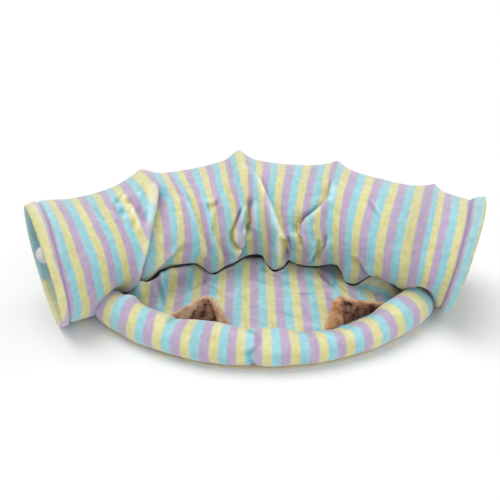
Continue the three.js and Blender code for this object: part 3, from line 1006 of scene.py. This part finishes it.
    def build(self) -> bpy.types.Object:
        """Builds the tunnel's piece.

        Returns:
            The dressed tunnel.
        """
        length = self.length_at(self.stations)
        mouth = np.minimum(length, self.marks[-1] - length)
        thick = (self.wall + self.hem_swelling(mouth))[:, None, None]
        inner = self.outer - self.normals * thick
        inner[..., 2] = np.maximum(inner[..., 2], self.wall)
        last = len(self.stations) - 1
        every = np.unique([*range(0, last, self.lining_step), last])[::-1]
        loops = np.concatenate([self.outer, inner[every]])
        # Painted light: faces turned up paler and faces turned down darker, the lining painted darker and its
        # hem at the left mouth painted paler
        painted_top_light = self.painted_top_light * (self.normals[..., 2] - self.painted_top_level)
        in_hem = (length < self.lining_hem)[every, None]
        lining = np.where(in_hem, self.painted_hem_light, -self.relief[every] - self.painted_lining_shade)
        marks = {STRIPE: np.concatenate([self.stripe_numbers(), self.lining_numbers()[every]]),
                 PAINTED_LIGHT: np.concatenate([self.relief + painted_top_light, lining])}
        surface = Surface.from_loops(loops, marks, True)
        piece = surface.to_piece("tunnel_cloth", "tunnel", "tunnel_plush", self.plush)
        return piece


@dataclass(frozen=True)
class ClothGuard:
    """Keeps soft pieces off the tunnel's cloth."""

    tunnel: Tunnel
    tries: int = 3

    def clear(self, points: Array, gap: float) -> Array:
        """Pushes points that lie in the tunnel out to its face.

        Args:
            points: Points in millimetres, in rows of any shape.
            gap: Clearance to leave.

        Returns:
            The moved points.
        """
        cloth, normals = self.tunnel.outer.reshape(-1, 3), self.tunnel.normals.reshape(-1, 3)
        tree = kdtree.KDTree(len(cloth))
        for number, point in enumerate(cloth):
            tree.insert(point, number)
        tree.balance()
        moved = points.reshape(-1, 3).copy()
        for number in range(len(moved)):
            for _ in range(self.tries):
                _, near, _ = tree.find(moved[number])
                depth = float((moved[number] - cloth[near]) @ normals[near])
                if depth >= gap:
                    break
                moved[number] += normals[near] * (gap - depth)
        return moved.reshape(points.shape)


# Middle of the bed's round front, and the thickness of the cloth under it
ARC_CENTRE = np.array([24.0, 178.0])
FLOOR_CLOTH = 2.5


def arc_points(radius: Array, place: Array, height: Array) -> Array:
    """Gives points about the bed's middle.

    Args:
        radius: Distance from the middle in millimetres.
        place: Angle of the place in degrees.
        height: Height above the floor.

    Returns:
        The points, in the arguments' common shape by 3.
    """
    turned = np.radians(place)
    x, y = ARC_CENTRE[0] + radius * np.cos(turned), ARC_CENTRE[1] + radius * np.sin(turned)
    return np.stack(np.broadcast_arrays(x, y, height), -1)


@dataclass(frozen=True)
class Dent:
    """A hollow of the roll, or a swelling if its depth is below 0.

    Its fields are the place on the arc, depth, half length, and angle and half angle around the roll.
    """

    at: float
    depth: float
    along: float
    around: float
    spread: float


@dataclass
class Roll:
    """The stuffed roll along the front: round, flat underneath, with round ends."""

    guard: ClothGuard
    arc: float = 422
    start: float = 221
    end: float = 320.5
    radius: float = 36
    flat: float = 2
    cap: float = 26
    sections: int = 240
    sides: int = 56
    easing: float = 0.5
    least_cap: float = 0.0004
    slack: float = 0.6
    # Gathers at the seam: height, number of folds and reach
    gather: tuple[float, float, float] = (1.4, 9, 14)
    # Hollows along the seam: depth and half width
    seam_dents: tuple[tuple[float, float], ...] = ((4.5, 4), (2.5, 22))
    lumps: Ripple = Ripple(0.9, 60, 21)
    # Places of the yellow stripes on the arc, from the left
    yellow: tuple[float, ...] = (
        211, 220.2, 228.7, 237.1, 244.6, 251.9, 258.8, 264.8, 270.7,
        277.2, 283.8, 290.4, 297.5, 305.1, 313.4, 325, 334)
    # The cross seam: angle around the roll, and place on the arc
    seam: tuple[tuple[float, float], ...] = (
        (-90, 267.3), (-40, 267.6), (15, 266.7), (45, 268.6), (75, 268.8), (118, 266), (270, 266))
    dents: tuple[Dent, ...] = (
        Dent(230.2, -9, 17, 120, 60), Dent(245.8, 5.5, 5, 112, 40), Dent(247, 4, 22, 120, 60),
        Dent(256, -4.5, 34, 120, 60), Dent(281, 10, 40, 120, 60), Dent(291, 22, 56, 120, 60),
        Dent(301.5, 8, 30, 120, 60), Dent(228, 3, 60, 120, 70))
    # Twist of the stripes at the left end, in degrees of the arc, and where it grows
    twist: float = 1.8
    twist_around: tuple[float, float] = (30, 120)
    twist_places: tuple[float, float] = (243, 247)
    relief_depth: float = 3
    relief_reach: int = 4
    # Painted light by which way the roll faces: paler on top, darker underneath
    painted_top_light: float = 0.5
    painted_top_level: float = 0.4
    plush: StripedPlush = StripedPlush("roll_plush")

    def lumpiness(self, place: Array, around: Array) -> Array:
        """Adds up the gathers at the seam, the lumps of the filling and the dents.

        Args:
            place: Angle of the place on the arc, in degrees.
            around: Angle around the roll.

        Returns:
            Height out of the plain roll, in millimetres.
        """
        degree = math.radians(1) * self.arc
        from_seam = (place - np.interp(around, *np.array(self.seam).T)) * degree
        size, folds, reach = self.gather
        height = size * np.cos(np.radians(around * folds)) * bell(from_seam, reach)
        height = height + self.lumps.at(place * degree, np.radians(around) * self.radius)
        for depth, width in self.seam_dents:
            height = height - depth * bell(from_seam, width)
        for dent in self.dents:
            height = height - dent.depth * (bell((place - dent.at) * degree, dent.along) *
                                            bell(around - dent.around, dent.spread))
        return height

    def stripe_numbers(self, place: Array, around: Array) -> Array:
        """Gives the stripes' numbers, twisted a little towards the left end.

        Args:
            place: Angle of the place on the arc, in degrees.
            around: Angle around the roll.

        Returns:
            The number at each point, whole in the middle of a stripe.
        """
        low, high = self.twist_around
        full, none = self.twist_places
        turn = smooth_step((around - low) / (high - low)) * smooth_step((none - place) / (none - full))
        # Yellow is the last colour of each repeat, and the numbers fall from left to right
        colours = len(StripeColour)
        numbers = colours - 1 - colours * np.arange(len(self.yellow))
        return np.interp(place + self.twist * turn, self.yellow, numbers)

    def build(self) -> bpy.types.Object:
        """Builds the roll's piece.

        Returns:
            The dressed roll.
        """
        even = np.linspace(0, 1, self.sections)
        share = self.easing * (1 - np.cos(math.pi * even)) / 2 + (1 - self.easing) * even
        place = (self.start + (self.end - self.start) * share)[:, None]
        around = np.linspace(-90, 270, self.sides, endpoint=False)[None]
        to_end = np.radians(np.minimum(place - self.start, self.end - place)) * self.arc
        lumpiness = self.lumpiness(place, around)
        radius = (self.radius + lumpiness - self.slack) * round_edge(to_end / self.cap, self.least_cap)
        rise = np.sin(np.radians(around))
        floor = FLOOR_CLOTH + SEAM_GAP
        height = np.maximum(floor + self.radius - self.flat + radius * rise, floor)
        loops = arc_points(self.arc + radius * np.cos(np.radians(around)), place, height)
        loops = self.guard.clear(loops, SEAM_GAP)
        numbers = self.stripe_numbers(place, around)
        # Painted light and shade: ridges and faces turned up paler, dents and faces turned down darker
        relief = relief_of(lumpiness, self.relief_reach, self.relief_depth, True)
        relief = relief + self.painted_top_light * (rise - self.painted_top_level)
        surface = Surface.from_loops(loops[:, ::-1], {STRIPE: numbers[:, ::-1], PAINTED_LIGHT: relief[:, ::-1]})
        piece = surface.to_piece("front_roll", "roll", "roll_plush", self.plush)
        return piece


@dataclass(frozen=True)
class Wrinkle:
    """A wrinkle or bump of the mat: place, height, direction in degrees and half sizes."""

    x: float
    y: float
    height: float
    turn: float
    length: float
    width: float

    def place(self, x: Array, y: Array) -> tuple[Array, Array]:
        """Gives the places along the wrinkle and across it, in millimetres.

        Args:
            x: Place across the bed.
            y: Place towards the back.

        Returns:
            Distance along the wrinkle from its middle, and distance behind it.
        """
        turn = math.radians(self.turn)
        from_x, from_y = x - self.x, y - self.y
        return (from_x * math.cos(turn) + from_y * math.sin(turn),
                from_y * math.cos(turn) - from_x * math.sin(turn))


CURL = Wrinkle(270, -31, 27, -34, 48, 14)


@dataclass
class Mat:
    """The thin padded half moon between the roll and the tunnel."""

    tunnel: Tunnel
    guard: ClothGuard
    arc: float = 390
    height: float = 23
    edge: float = 13
    edge_run: float = 42
    rim: float = 7
    front_rim: float = 6
    lift: float = 0.5
    columns: int = 280
    rows: int = 76
    bottom_step: int = 8
    stripe_width: float = 17.3
    stripe_start: float = -8.5
    first_stripe: float = 2
    curl_reach: float = 52
    # Bands along the curled edge: where each starts behind the curl's middle, and its number
    curl_bands: tuple[tuple[float, float], ...] = ((-25, 19), (-15, 20))
    curl_blur: float = 4
    # Painted light on the curled edge at the right: its strength, and where and over what run it starts
    # behind the curl's middle
    painted_curl_light: float = 1.2
    painted_curl_from: float = -26
    painted_curl_run: float = 10
    relief_depth: float = 2.5
    relief_reach: int = 4
    # Painted shadow along the mat's back edge under the belly: its strength and half width
    painted_belly_shadow: float = 2.4
    painted_shadow_width: float = 6
    # Dark gap that shows between the mat and the belly, at the left and at the right
    seam_gaps: tuple[float, float] = (2.4, 0.4)
    overhang_angles: tuple[float, float] = (95, 178)
    bearings: int = 300
    smoothing: int = 5
    half_view: float = 0.32
    trials: int = 1120
    shortest: float = 12
    wrinkles: tuple[Wrinkle, ...] = (
        Wrinkle(-184, 14, 49, 27, 62, 30), Wrinkle(-226, -42, 40, 62, 40, 26), CURL,
        Wrinkle(20, 70, 8, 0, 110, 24), Wrinkle(-78, -50, -2.5, 30, 60, 14),
        Wrinkle(57, -9, -3, -12, 80, 14), Wrinkle(159, -56, 3, 40, 60, 16),
        Wrinkle(-190, -42, -8, -74, 44, 5), Wrinkle(-202, -42, 3, -74, 44, 8),
        Wrinkle(166, 2, -7, -66, 34, 5), Wrinkle(49, 23, -3, -47, 42, 4),
        Wrinkle(123, -54, -3, -2, 42, 3), Wrinkle(70, -78, 1.8, -8, 70, 6), Wrinkle(20, -110, 1.5, 30, 30, 8),
        Wrinkle(-40, -60, 1.6, 20, 50, 8), Wrinkle(-110, -20, -3, 50, 40, 6),
        Wrinkle(190, -20, -3, -60, 40, 6),
    )
    crumple: Ripple = Ripple(0.9, 40, 31)
    creases: Ripple = Ripple(1, 150, 33)
    crease_depth: float = 1.8
    crease_width: float = 0.16
    plush: StripedPlush = StripedPlush("mat_plush")

    def top(self, x: Array, y: Array) -> Array:
        """Gives the height of the mat's top: level, lower along the roll, with shallow wrinkles.

        Args:
            x: Place across the bed, in millimetres.
            y: Place towards the back.

        Returns:
            Height above the floor.
        """
        radius = np.hypot(x - ARC_CENTRE[0], y - ARC_CENTRE[1])
        edge = smooth_step((self.arc - radius) / self.edge_run)
        height = self.edge + (self.height - self.edge) * edge
        for wrinkle in self.wrinkles:
            along, across = wrinkle.place(x, y)
            raised = bell(along, wrinkle.length) * bell(across, wrinkle.width)
            height = height + edge * wrinkle.height * raised
        creases = self.crease_depth * bell(self.creases.at(x, y), self.crease_width)
        uneven = self.crumple.at(x, y) - creases
        return FLOOR_CLOTH + SEAM_GAP + height + edge * uneven

    def stripe_numbers(self, x: Array, y: Array) -> Array:
        """Gives the stripes' numbers: straight rows, but two bands along the edge that curls up at the right.

        Args:
            x: Place across the bed, in millimetres.
            y: Place towards the back.

        Returns:
            The number at each point, whole in the middle of a stripe.
        """
        numbers = (x - self.stripe_start) / self.stripe_width + self.first_stripe
        along, across = CURL.place(x, y)
        for start, number in self.curl_bands:
            share = (smooth_step((across - start) / self.curl_blur) *
                     smooth_step((self.curl_reach - np.abs(along)) / self.curl_blur))
            numbers = numbers + (number - numbers) * share
        return numbers

    def overhang(self) -> tuple[Array, Array]:
        """Finds where the overhanging tunnel starts to hide the mat, seen from in front of the bed.

        Returns:
            Bearings in radians, and how far off that is at each.
        """
        low, high = self.overhang_angles
        front = (self.tunnel.angles > low) & (self.tunnel.angles < high)
        cloth = self.tunnel.outer[:, front].reshape(-1, 3)
        above = cloth[:, 2] - self.top(cloth[:, 0], cloth[:, 1])
        cloth, above = cloth[above > 0], above[above > 0]
        across, ahead = cloth[:, 0] - EYE[0], cloth[:, 1] - EYE[1]
        bearing = np.arctan2(across, ahead)
        reach = np.hypot(across, ahead) * (1 + above / (EYE[2] - cloth[:, 2]))
        bins = np.linspace(bearing.min(), bearing.max(), self.bearings)
        nearest = np.full(self.bearings, np.inf)
        np.minimum.at(nearest, np.searchsorted(bins, bearing), reach)
        found = np.isfinite(nearest)
        nearest = np.pad(np.interp(bins, bins[found], nearest[found]), self.smoothing // 2, "edge")
        return bins, np.convolve(nearest, np.ones(self.smoothing) / self.smoothing, "valid")

    def limits(self, bearing: Array, overhang: tuple[Array, Array]) -> tuple[Array, Array]:
        """Finds where columns of the mat end: under the tunnel, and at the roll.

        Args:
            bearing: Bearings of the columns, from left to right.
            overhang: Bearings of the overhang and how far off it is.

        Returns:
            How far off each column's back end is, and its front edge.
        """
        back = np.interp(bearing, *overhang) - np.linspace(*self.seam_gaps, len(bearing))
        middle = ARC_CENTRE - EYE[:2]
        along = np.sin(bearing) * middle[0] + np.cos(bearing) * middle[1]
        edge = along - np.sqrt(np.clip(self.arc ** 2 - middle @ middle + along ** 2, 0, None))
        return back, edge

    def spread(self) -> tuple[Array, Array, Array]:
        """Spreads the mat's columns over the bearings where they are long enough.

        Returns:
            The bearings, and how far off each column's back end and front edge are.
        """
        overhang = self.overhang()
        trial = np.linspace(-self.half_view, self.half_view, self.trials)
        back, edge = self.limits(trial, overhang)
        kept = trial[back - edge > self.shortest]
        bearing = np.linspace(kept[0], kept[-1], self.columns)
        return bearing, *self.limits(bearing, overhang)

    def build(self) -> bpy.types.Object:
        """Builds the mat's piece.

        Returns:
            The dressed mat.
        """
        bearing, back_end, front_end = (column[:, None] for column in self.spread())
        from_back = (back_end - front_end) * np.linspace(0, 1, self.rows)[None]
        off = back_end - from_back
        x, y = EYE[0] + off * np.sin(bearing), EYE[1] + off * np.cos(bearing)
        radius = np.hypot(x - ARC_CENTRE[0], y - ARC_CENTRE[1])
        rim = round_edge(from_back / self.rim) * round_edge((self.arc - radius) / self.front_rim)
        floor = FLOOR_CLOTH + SEAM_GAP
        top = np.stack([x, y, floor + self.lift + (self.top(x, y) - floor) * rim], -1)
        bottom = np.stack([x, y, np.full_like(x, floor)], -1)[:, ::-self.bottom_step]
        loops = self.guard.clear(np.concatenate([top, bottom], 1), SEAM_GAP)
        # Painted light and shade: ridges paler and hollows darker, the curled edge painted paler, and a
        # painted shadow along the back edge under the belly
        along, behind = CURL.place(x, y)
        curl = bell(along, CURL.length) * smooth_step((behind - self.painted_curl_from) / self.painted_curl_run)
        relief = (relief_of(top[..., 2], self.relief_reach, self.relief_depth) + self.painted_curl_light * curl -
                  self.painted_belly_shadow * bell(from_back, self.painted_shadow_width) * (1 - curl))
        marks = {STRIPE: self.stripe_numbers(loops[..., 0], loops[..., 1]),
                 PAINTED_LIGHT: np.concatenate([relief, relief[:, ::-self.bottom_step]], 1)}
        piece = Surface.from_loops(loops, marks).to_piece("bed_mat", "mat", "mat_plush", self.plush)
        return piece


@dataclass
class BaseCloth:
    """The thin plain cloth under the mat and the roll, whose edge shows below the roll."""

    tunnel: Tunnel
    arc: float = 441
    start: float = 223
    end: float = 318.5
    tuck_angle: float = 150
    tuck_from: float = 0.55
    tuck_to: float = 4.15
    columns: int = 160
    rows: int = 14
    edge_wave: Ripple = Ripple(1.2, 60, 41)
    edge_per_degree: float = 7.7
    slack: float = 0.2
    weave: PlainWeave = PlainWeave("base_weave", srgb(222, 208, 178))

    def build(self) -> bpy.types.Object:
        """Builds the base cloth's piece.

        Returns:
            The dressed cloth.
        """
        place = np.linspace(self.start, self.end, self.columns)
        uneven = self.edge_wave.at(place * self.edge_per_degree, np.zeros(self.columns))
        front = arc_points(self.arc + uneven, place, 0.0)
        stations = np.linspace(self.tuck_from, self.tuck_to, self.columns)
        back = self.tunnel.plain_cloth(stations, np.array([self.tuck_angle]))[:, 0]
        share = np.linspace(0, 1, self.rows)[None, :, None]
        sheet = back[:, None] * (1 - share) + front[:, None] * share
        top, bottom = sheet.copy(), sheet[:, ::-1].copy()
        top[..., 2], bottom[..., 2] = FLOOR_CLOTH - self.slack, 0.0
        surface = Surface.from_loops(np.concatenate([top, bottom], 1), {})
        piece = surface.to_piece("base_sheet", "base_cloth", "base_cloth", self.weave)
        steps = np.cross(sheet[1:, :-1] - sheet[:-1, :-1], sheet[:-1, 1:] - sheet[:-1, :-1])
        return piece


@dataclass(frozen=True)
class Pile:
    """Standing strands of pile, each a slim three-sided spike."""

    count: int
    length: float
    width: float
    lean: tuple[float, float, float]
    spread: float
    seed: int
    shortest: float = 0.6
    tip: float = 0.6
    shades: tuple[float, float] = (-0.25, 0.5)

    def strands(self, surface: Surface) -> Surface:
        """Plants strands all over a surface.

        Args:
            surface: The closed surface that carries the pile.

        Returns:
            The strands, marked from root to tip.
        """
        draw = np.random.default_rng(self.seed)
        quads = np.array([face for face in surface.faces if len(face) == 4])
        corner = surface.points[quads]
        normals = np.cross(corner[:, 2] - corner[:, 0], corner[:, 3] - corner[:, 1])
        areas = np.linalg.norm(normals, axis=1)
        pick = draw.choice(len(quads), self.count, p=areas / areas.sum())
        u, v = draw.uniform(0, 1, (2, self.count, 1))
        chosen = corner[pick]
        roots = ((chosen[:, 0] * (1 - u) + chosen[:, 1] * u) * (1 - v) +
                 (chosen[:, 3] * (1 - u) + chosen[:, 2] * u) * v)
        up = normals[pick] / np.maximum(areas[pick], 1e-9)[:, None]
        way = up + np.array(self.lean) + draw.normal(0, self.spread, (self.count, 3))
        way /= np.linalg.norm(way, axis=1, keepdims=True)
        side = np.cross(way, draw.normal(0, 1, (self.count, 3)))
        side /= np.linalg.norm(side, axis=1, keepdims=True)
        other = np.cross(way, side)
        size = self.length * draw.uniform(self.shortest, 1.0, (self.count, 1))
        corners = [roots + self.width * (math.cos(turn) * side + math.sin(turn) * other)
                   for turn in (0, 2 * math.pi / 3, 4 * math.pi / 3)]
        points = np.stack([*corners, roots + way * size], 1).reshape(-1, 3)
        first = 4 * np.arange(self.count)[:, None, None]
        faces = (first + np.array([[0, 1, 3], [1, 2, 3], [2, 0, 3]])).reshape(-1, 3).tolist()
        # A random tone for each strand, plus the mark at its root, which on the ears' inner panels is painted
        # shade
        shade = draw.uniform(*self.shades, self.count) + surface.marks[TIP_AND_PAINTED_SHADE][quads[pick]].mean(1)
        along = np.array([0.0, 0.0, 0.0, self.tip])
        return Surface(points, faces, {TIP_AND_PAINTED_SHADE: (along[None] + shade[:, None]).ravel()})


@dataclass
class Ear:
    """A cupped cat ear that stands on the mat: a tan shell and a brown inner panel.

    The halves and curves are its half widths and how they narrow, left and right of its middle.
    """

    name: str
    mat: Mat
    at: float
    halves: tuple[float, float]
    height: float
    lean: float
    cup: float
    tip: float
    seed: int
    shell_fur: FurPile
    panel_fur: FurPile
    curves: tuple[float, float]
    panel_from: float
    panel_to: float
    panel_top: float
    # Painted shade of the inner panel's pile: darker at the foot, paler at the top
    panel_painted_shade: tuple[float, float] = (-0.25, 0.45)
    arc: float = 366
    thick: float = 7
    panel: float = 4
    foot: float = 6
    tip_width: float = 3
    panel_gap: float = 0.3
    foot_turn: float = 0.12
    # How square the edges are, at the sides and at the tip
    roundness: tuple[int, int] = (8, 10)
    least_rims: tuple[float, float] = (0.002, 0.01)
    rows: int = 26
    columns: int = 28
    counts: tuple[int, int] = (9000, 5000)
    strand: float = 5.5
    strand_width: float = 0.9
    strand_lean: tuple[float, float, float] = (0, 0, 0.4)
    strand_spread: float = 0.4

    def point(self, u: Array, v: Array, depth: Array) -> Array:
        """Gives points of the ear.

        Args:
            u: From -1 at its left edge to 1 at its right edge.
            v: From 0 at its foot to 1 at its tip.
            depth: Millimetres towards the roll.

        Returns:
            The points, kept above the mat.
        """
        turned, lean = math.radians(self.at), math.radians(self.lean)
        right = np.array([-math.sin(turned), math.cos(turned), 0])
        toward = np.array([math.cos(turned), math.sin(turned), 0])
        foot = arc_points(np.array(self.arc), np.array(self.at), 0.0)
        ground = self.mat.top(foot[0], foot[1]) - self.foot
        narrowing = np.clip(1 - v, 0, 1) ** np.where(u < 0, *self.curves)
        half = np.where(u < 0, *self.halves) * narrowing + self.tip_width
        bowed = self.cup * u * u * (1 - v) + depth - math.sin(lean) * self.height * v
        points = foot + (u * half + self.tip * v * v)[..., None] * right + bowed[..., None] * toward
        points[..., 2] = ground + self.height * math.cos(lean) * v
        floor = self.mat.top(points[..., 0], points[..., 1]) + SEAM_GAP
        points[..., 2] = np.maximum(points[..., 2], floor)
        return points

    def layer(self, left: float, right: float, top: float, middle: float, half: float,
              tones: tuple[float, float]) -> Surface:
        """Builds one soft layer with rounded edges.

        Args:
            left: Where it starts across the ear, from -1 to 1.
            right: Where it ends across the ear.
            top: Share of the ear's height that it covers.
            middle: Depth of its middle towards the roll.
            half: Half its thickness.
            tones: How pale its pile is at the foot and at the top; on the inner panel this is painted shade,
                darker at the foot.

        Returns:
            The closed layer, marked as roots of the pile.
        """
        across = np.sin(np.linspace(-math.pi / 2, math.pi / 2, self.columns))[None]
        up = np.sin(np.linspace(self.foot_turn, math.pi / 2, self.rows))[:, None]
        sides, ends = (np.sqrt(np.clip(1 - share ** power, least, 1)) for share, power, least in
                       zip((across, up), self.roundness, self.least_rims))
        rim = half * sides * ends
        u = ((left + right) / 2 + across * (right - left) / 2) * np.ones_like(up)
        v = up * top * np.ones_like(across)
        front, back = self.point(u, v, middle + rim), self.point(u, v, middle - rim)
        loops = np.concatenate([front, back[:, -2:0:-1]], 1)
        tone = tones[0] + (tones[1] - tones[0]) * up * np.ones(loops.shape[:2])
        return Surface.from_loops(loops, {TIP_AND_PAINTED_SHADE: tone})

    def build(self) -> list[bpy.types.Object]:
        """Builds the ear's two pieces.

        Returns:
            The dressed shell and panel.
        """
        shell = self.layer(-1, 1, 1, -self.thick / 2, self.thick / 2, (0, 0))
        panel = self.layer(self.panel_from, self.panel_to, self.panel_top, self.panel_gap + self.panel / 2,
                           self.panel / 2, self.panel_painted_shade)
        pieces = []
        for surface, part, slot, fur, count, seed in (
                (shell, self.name, "ear_plush", self.shell_fur, self.counts[0], self.seed),
                (panel, f"{self.name}_inner", "ear_panel", self.panel_fur, self.counts[1], self.seed + 1)):
            pile = Pile(count, self.strand, self.strand_width, self.strand_lean, self.strand_spread, seed)
            furry = surface.joined(pile.strands(surface))
            piece = furry.to_piece(f"{part}_fur", part, slot, fur)
            pieces.append(piece)
        return pieces


@dataclass
class ToyBall:
    """The fluffy white ball inside the left mouth."""

    node: str = "toy_ball"
    core: float = 13
    # Its wavelength is in degrees
    lumps: Ripple = Ripple(0.6, 50, 51)
    pole: float = 89
    rows: int = 18
    sides: int = 28
    pile: Pile = Pile(4200, 4.5, 0.45, (0, 0, 0), 0.35, 52)
    fur: FurPile = FurPile("ball_pile", srgb(250, 246, 250), srgb(255, 255, 255), srgb(252, 247, 252))

    def build(self) -> bpy.types.Object:
        """Builds the ball's piece.

        Returns:
            The dressed ball.
        """
        low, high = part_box(self.node)
        centre = np.array((low + high) / 2) / MM
        rise = np.linspace(-self.pole, self.pole, self.rows)[:, None]
        turn = np.linspace(0, 360, self.sides, endpoint=False)[None]
        x, y = (np.cos(np.radians(rise)) * way(np.radians(turn)) for way in (np.cos, np.sin))
        unit = np.stack(np.broadcast_arrays(x, y, np.sin(np.radians(rise))), -1)
        loops = centre + unit * (self.core + self.lumps.at(rise, turn))[..., None]
        surface = Surface.from_loops(loops, {TIP_AND_PAINTED_SHADE: np.zeros(loops.shape[:2])})
        furry = surface.joined(self.pile.strands(surface))
        piece = furry.to_piece("fluffy_ball", self.node, "ball_plush", self.fur)
        return piece


@dataclass(frozen=True)
class SoftSun:
    """A far light with soft shadows: where it comes from, its width in degrees and its strength."""

    name: str
    source: tuple[float, float, float]
    width: float
    strength: float


@dataclass(frozen=True)
class Studio:
    """Pale floor, soft lights and the camera. Distances are in metres."""

    camera_pitch: float = 60
    lens: float = 43.2
    sensor: float = 36
    floor_size: float = 14
    floor_drop: float = 0.0005
    sky: float = 0.62
    lamp_distance: float = 3
    lights: tuple[SoftSun, ...] = (
        SoftSun("top_light", (-0.3, 0.08, 1.0), 44, 1.4),
        SoftSun("front_light", (0.6, -1.0, 0.6), 60, 0.8),
    )

    def build(self) -> None:
        """Makes the floor, the lights, the sky and the camera."""
        half = self.floor_size / 2
        mesh = bpy.data.meshes.new("studio_floor")
        corners = [(-half, -half, 0), (half, -half, 0), (half, half, 0), (-half, half, 0)]
        mesh.from_pydata(corners, [], [(0, 1, 2, 3)])
        floor = bpy.data.objects.new("studio_floor", mesh)
        floor.location.z = -self.floor_drop
        mesh.materials.append(StudioFloor("studio_floor").material())
        bpy.context.scene.collection.objects.link(floor)
        for light in self.lights:
            lamp = bpy.data.lights.new(light.name, "SUN")
            lamp.angle, lamp.energy = math.radians(light.width), light.strength
            holder = bpy.data.objects.new(light.name, lamp)
            holder.location = Vector(light.source) * self.lamp_distance
            holder.rotation_euler = (-Vector(light.source)).to_track_quat("-Z", "Y").to_euler()
            bpy.context.scene.collection.objects.link(holder)
        world = bpy.data.worlds.new("studio_sky")
        world.use_nodes = True
        backdrop = world.node_tree.nodes["Background"]
        backdrop.inputs["Color"].default_value = (1, 1, 1, 1)
        backdrop.inputs["Strength"].default_value = self.sky
        bpy.context.scene.world = world
        view = bpy.data.cameras.new("camera")
        view.lens, view.sensor_width = self.lens, self.sensor
        camera = bpy.data.objects.new("camera", view)
        camera.location = Vector(EYE) * MM
        camera.rotation_euler = Euler((math.radians(self.camera_pitch), 0, 0))
        bpy.context.scene.collection.objects.link(camera)
        bpy.context.scene.camera = camera
        bpy.context.scene.view_settings.view_transform = "Standard"


def main() -> None:
    """Builds the studio and every piece in order."""
    logging.basicConfig(level=logging.INFO, format="%(name)s: %(message)s")
    Studio().build()
    tunnel = Tunnel()
    guard = ClothGuard(tunnel)
    mat = Mat(tunnel, guard)
    pale_tan = FurPile("ear_pale_tan", srgb(232, 194, 162), srgb(250, 230, 208), srgb(222, 176, 138))
    tan = FurPile("ear_tan", srgb(236, 178, 126), srgb(250, 216, 174), srgb(214, 150, 100))
    brown = FurPile("ear_brown", srgb(112, 66, 48), srgb(222, 174, 144), srgb(88, 48, 32))
    pieces = [tunnel.build(), Roll(guard).build(), mat.build(), BaseCloth(tunnel).build(), ToyBall().build()]
    left_ear = Ear("ear_left", mat, at=249.8, halves=(79, 79), height=65, lean=28, cup=12, tip=9, seed=61,
                   shell_fur=pale_tan, panel_fur=brown, curves=(1.05, 0.7),
                   panel_from=-0.34, panel_to=0.66, panel_top=0.97)
    right_ear = Ear("ear_right", mat, at=302, halves=(88, 100), height=53, lean=26, cup=6, tip=-32, seed=71,
                    shell_fur=tan, panel_fur=brown, curves=(0.68, 1.75),
                    panel_from=-0.49, panel_to=0.9, panel_top=0.92)
    for piece in [*pieces, *left_ear.build(), *right_ear.build()]:
        LOG.info("%s: %d faces", piece.name, len(piece.data.polygons))


if __name__ == "__main__":
    main()
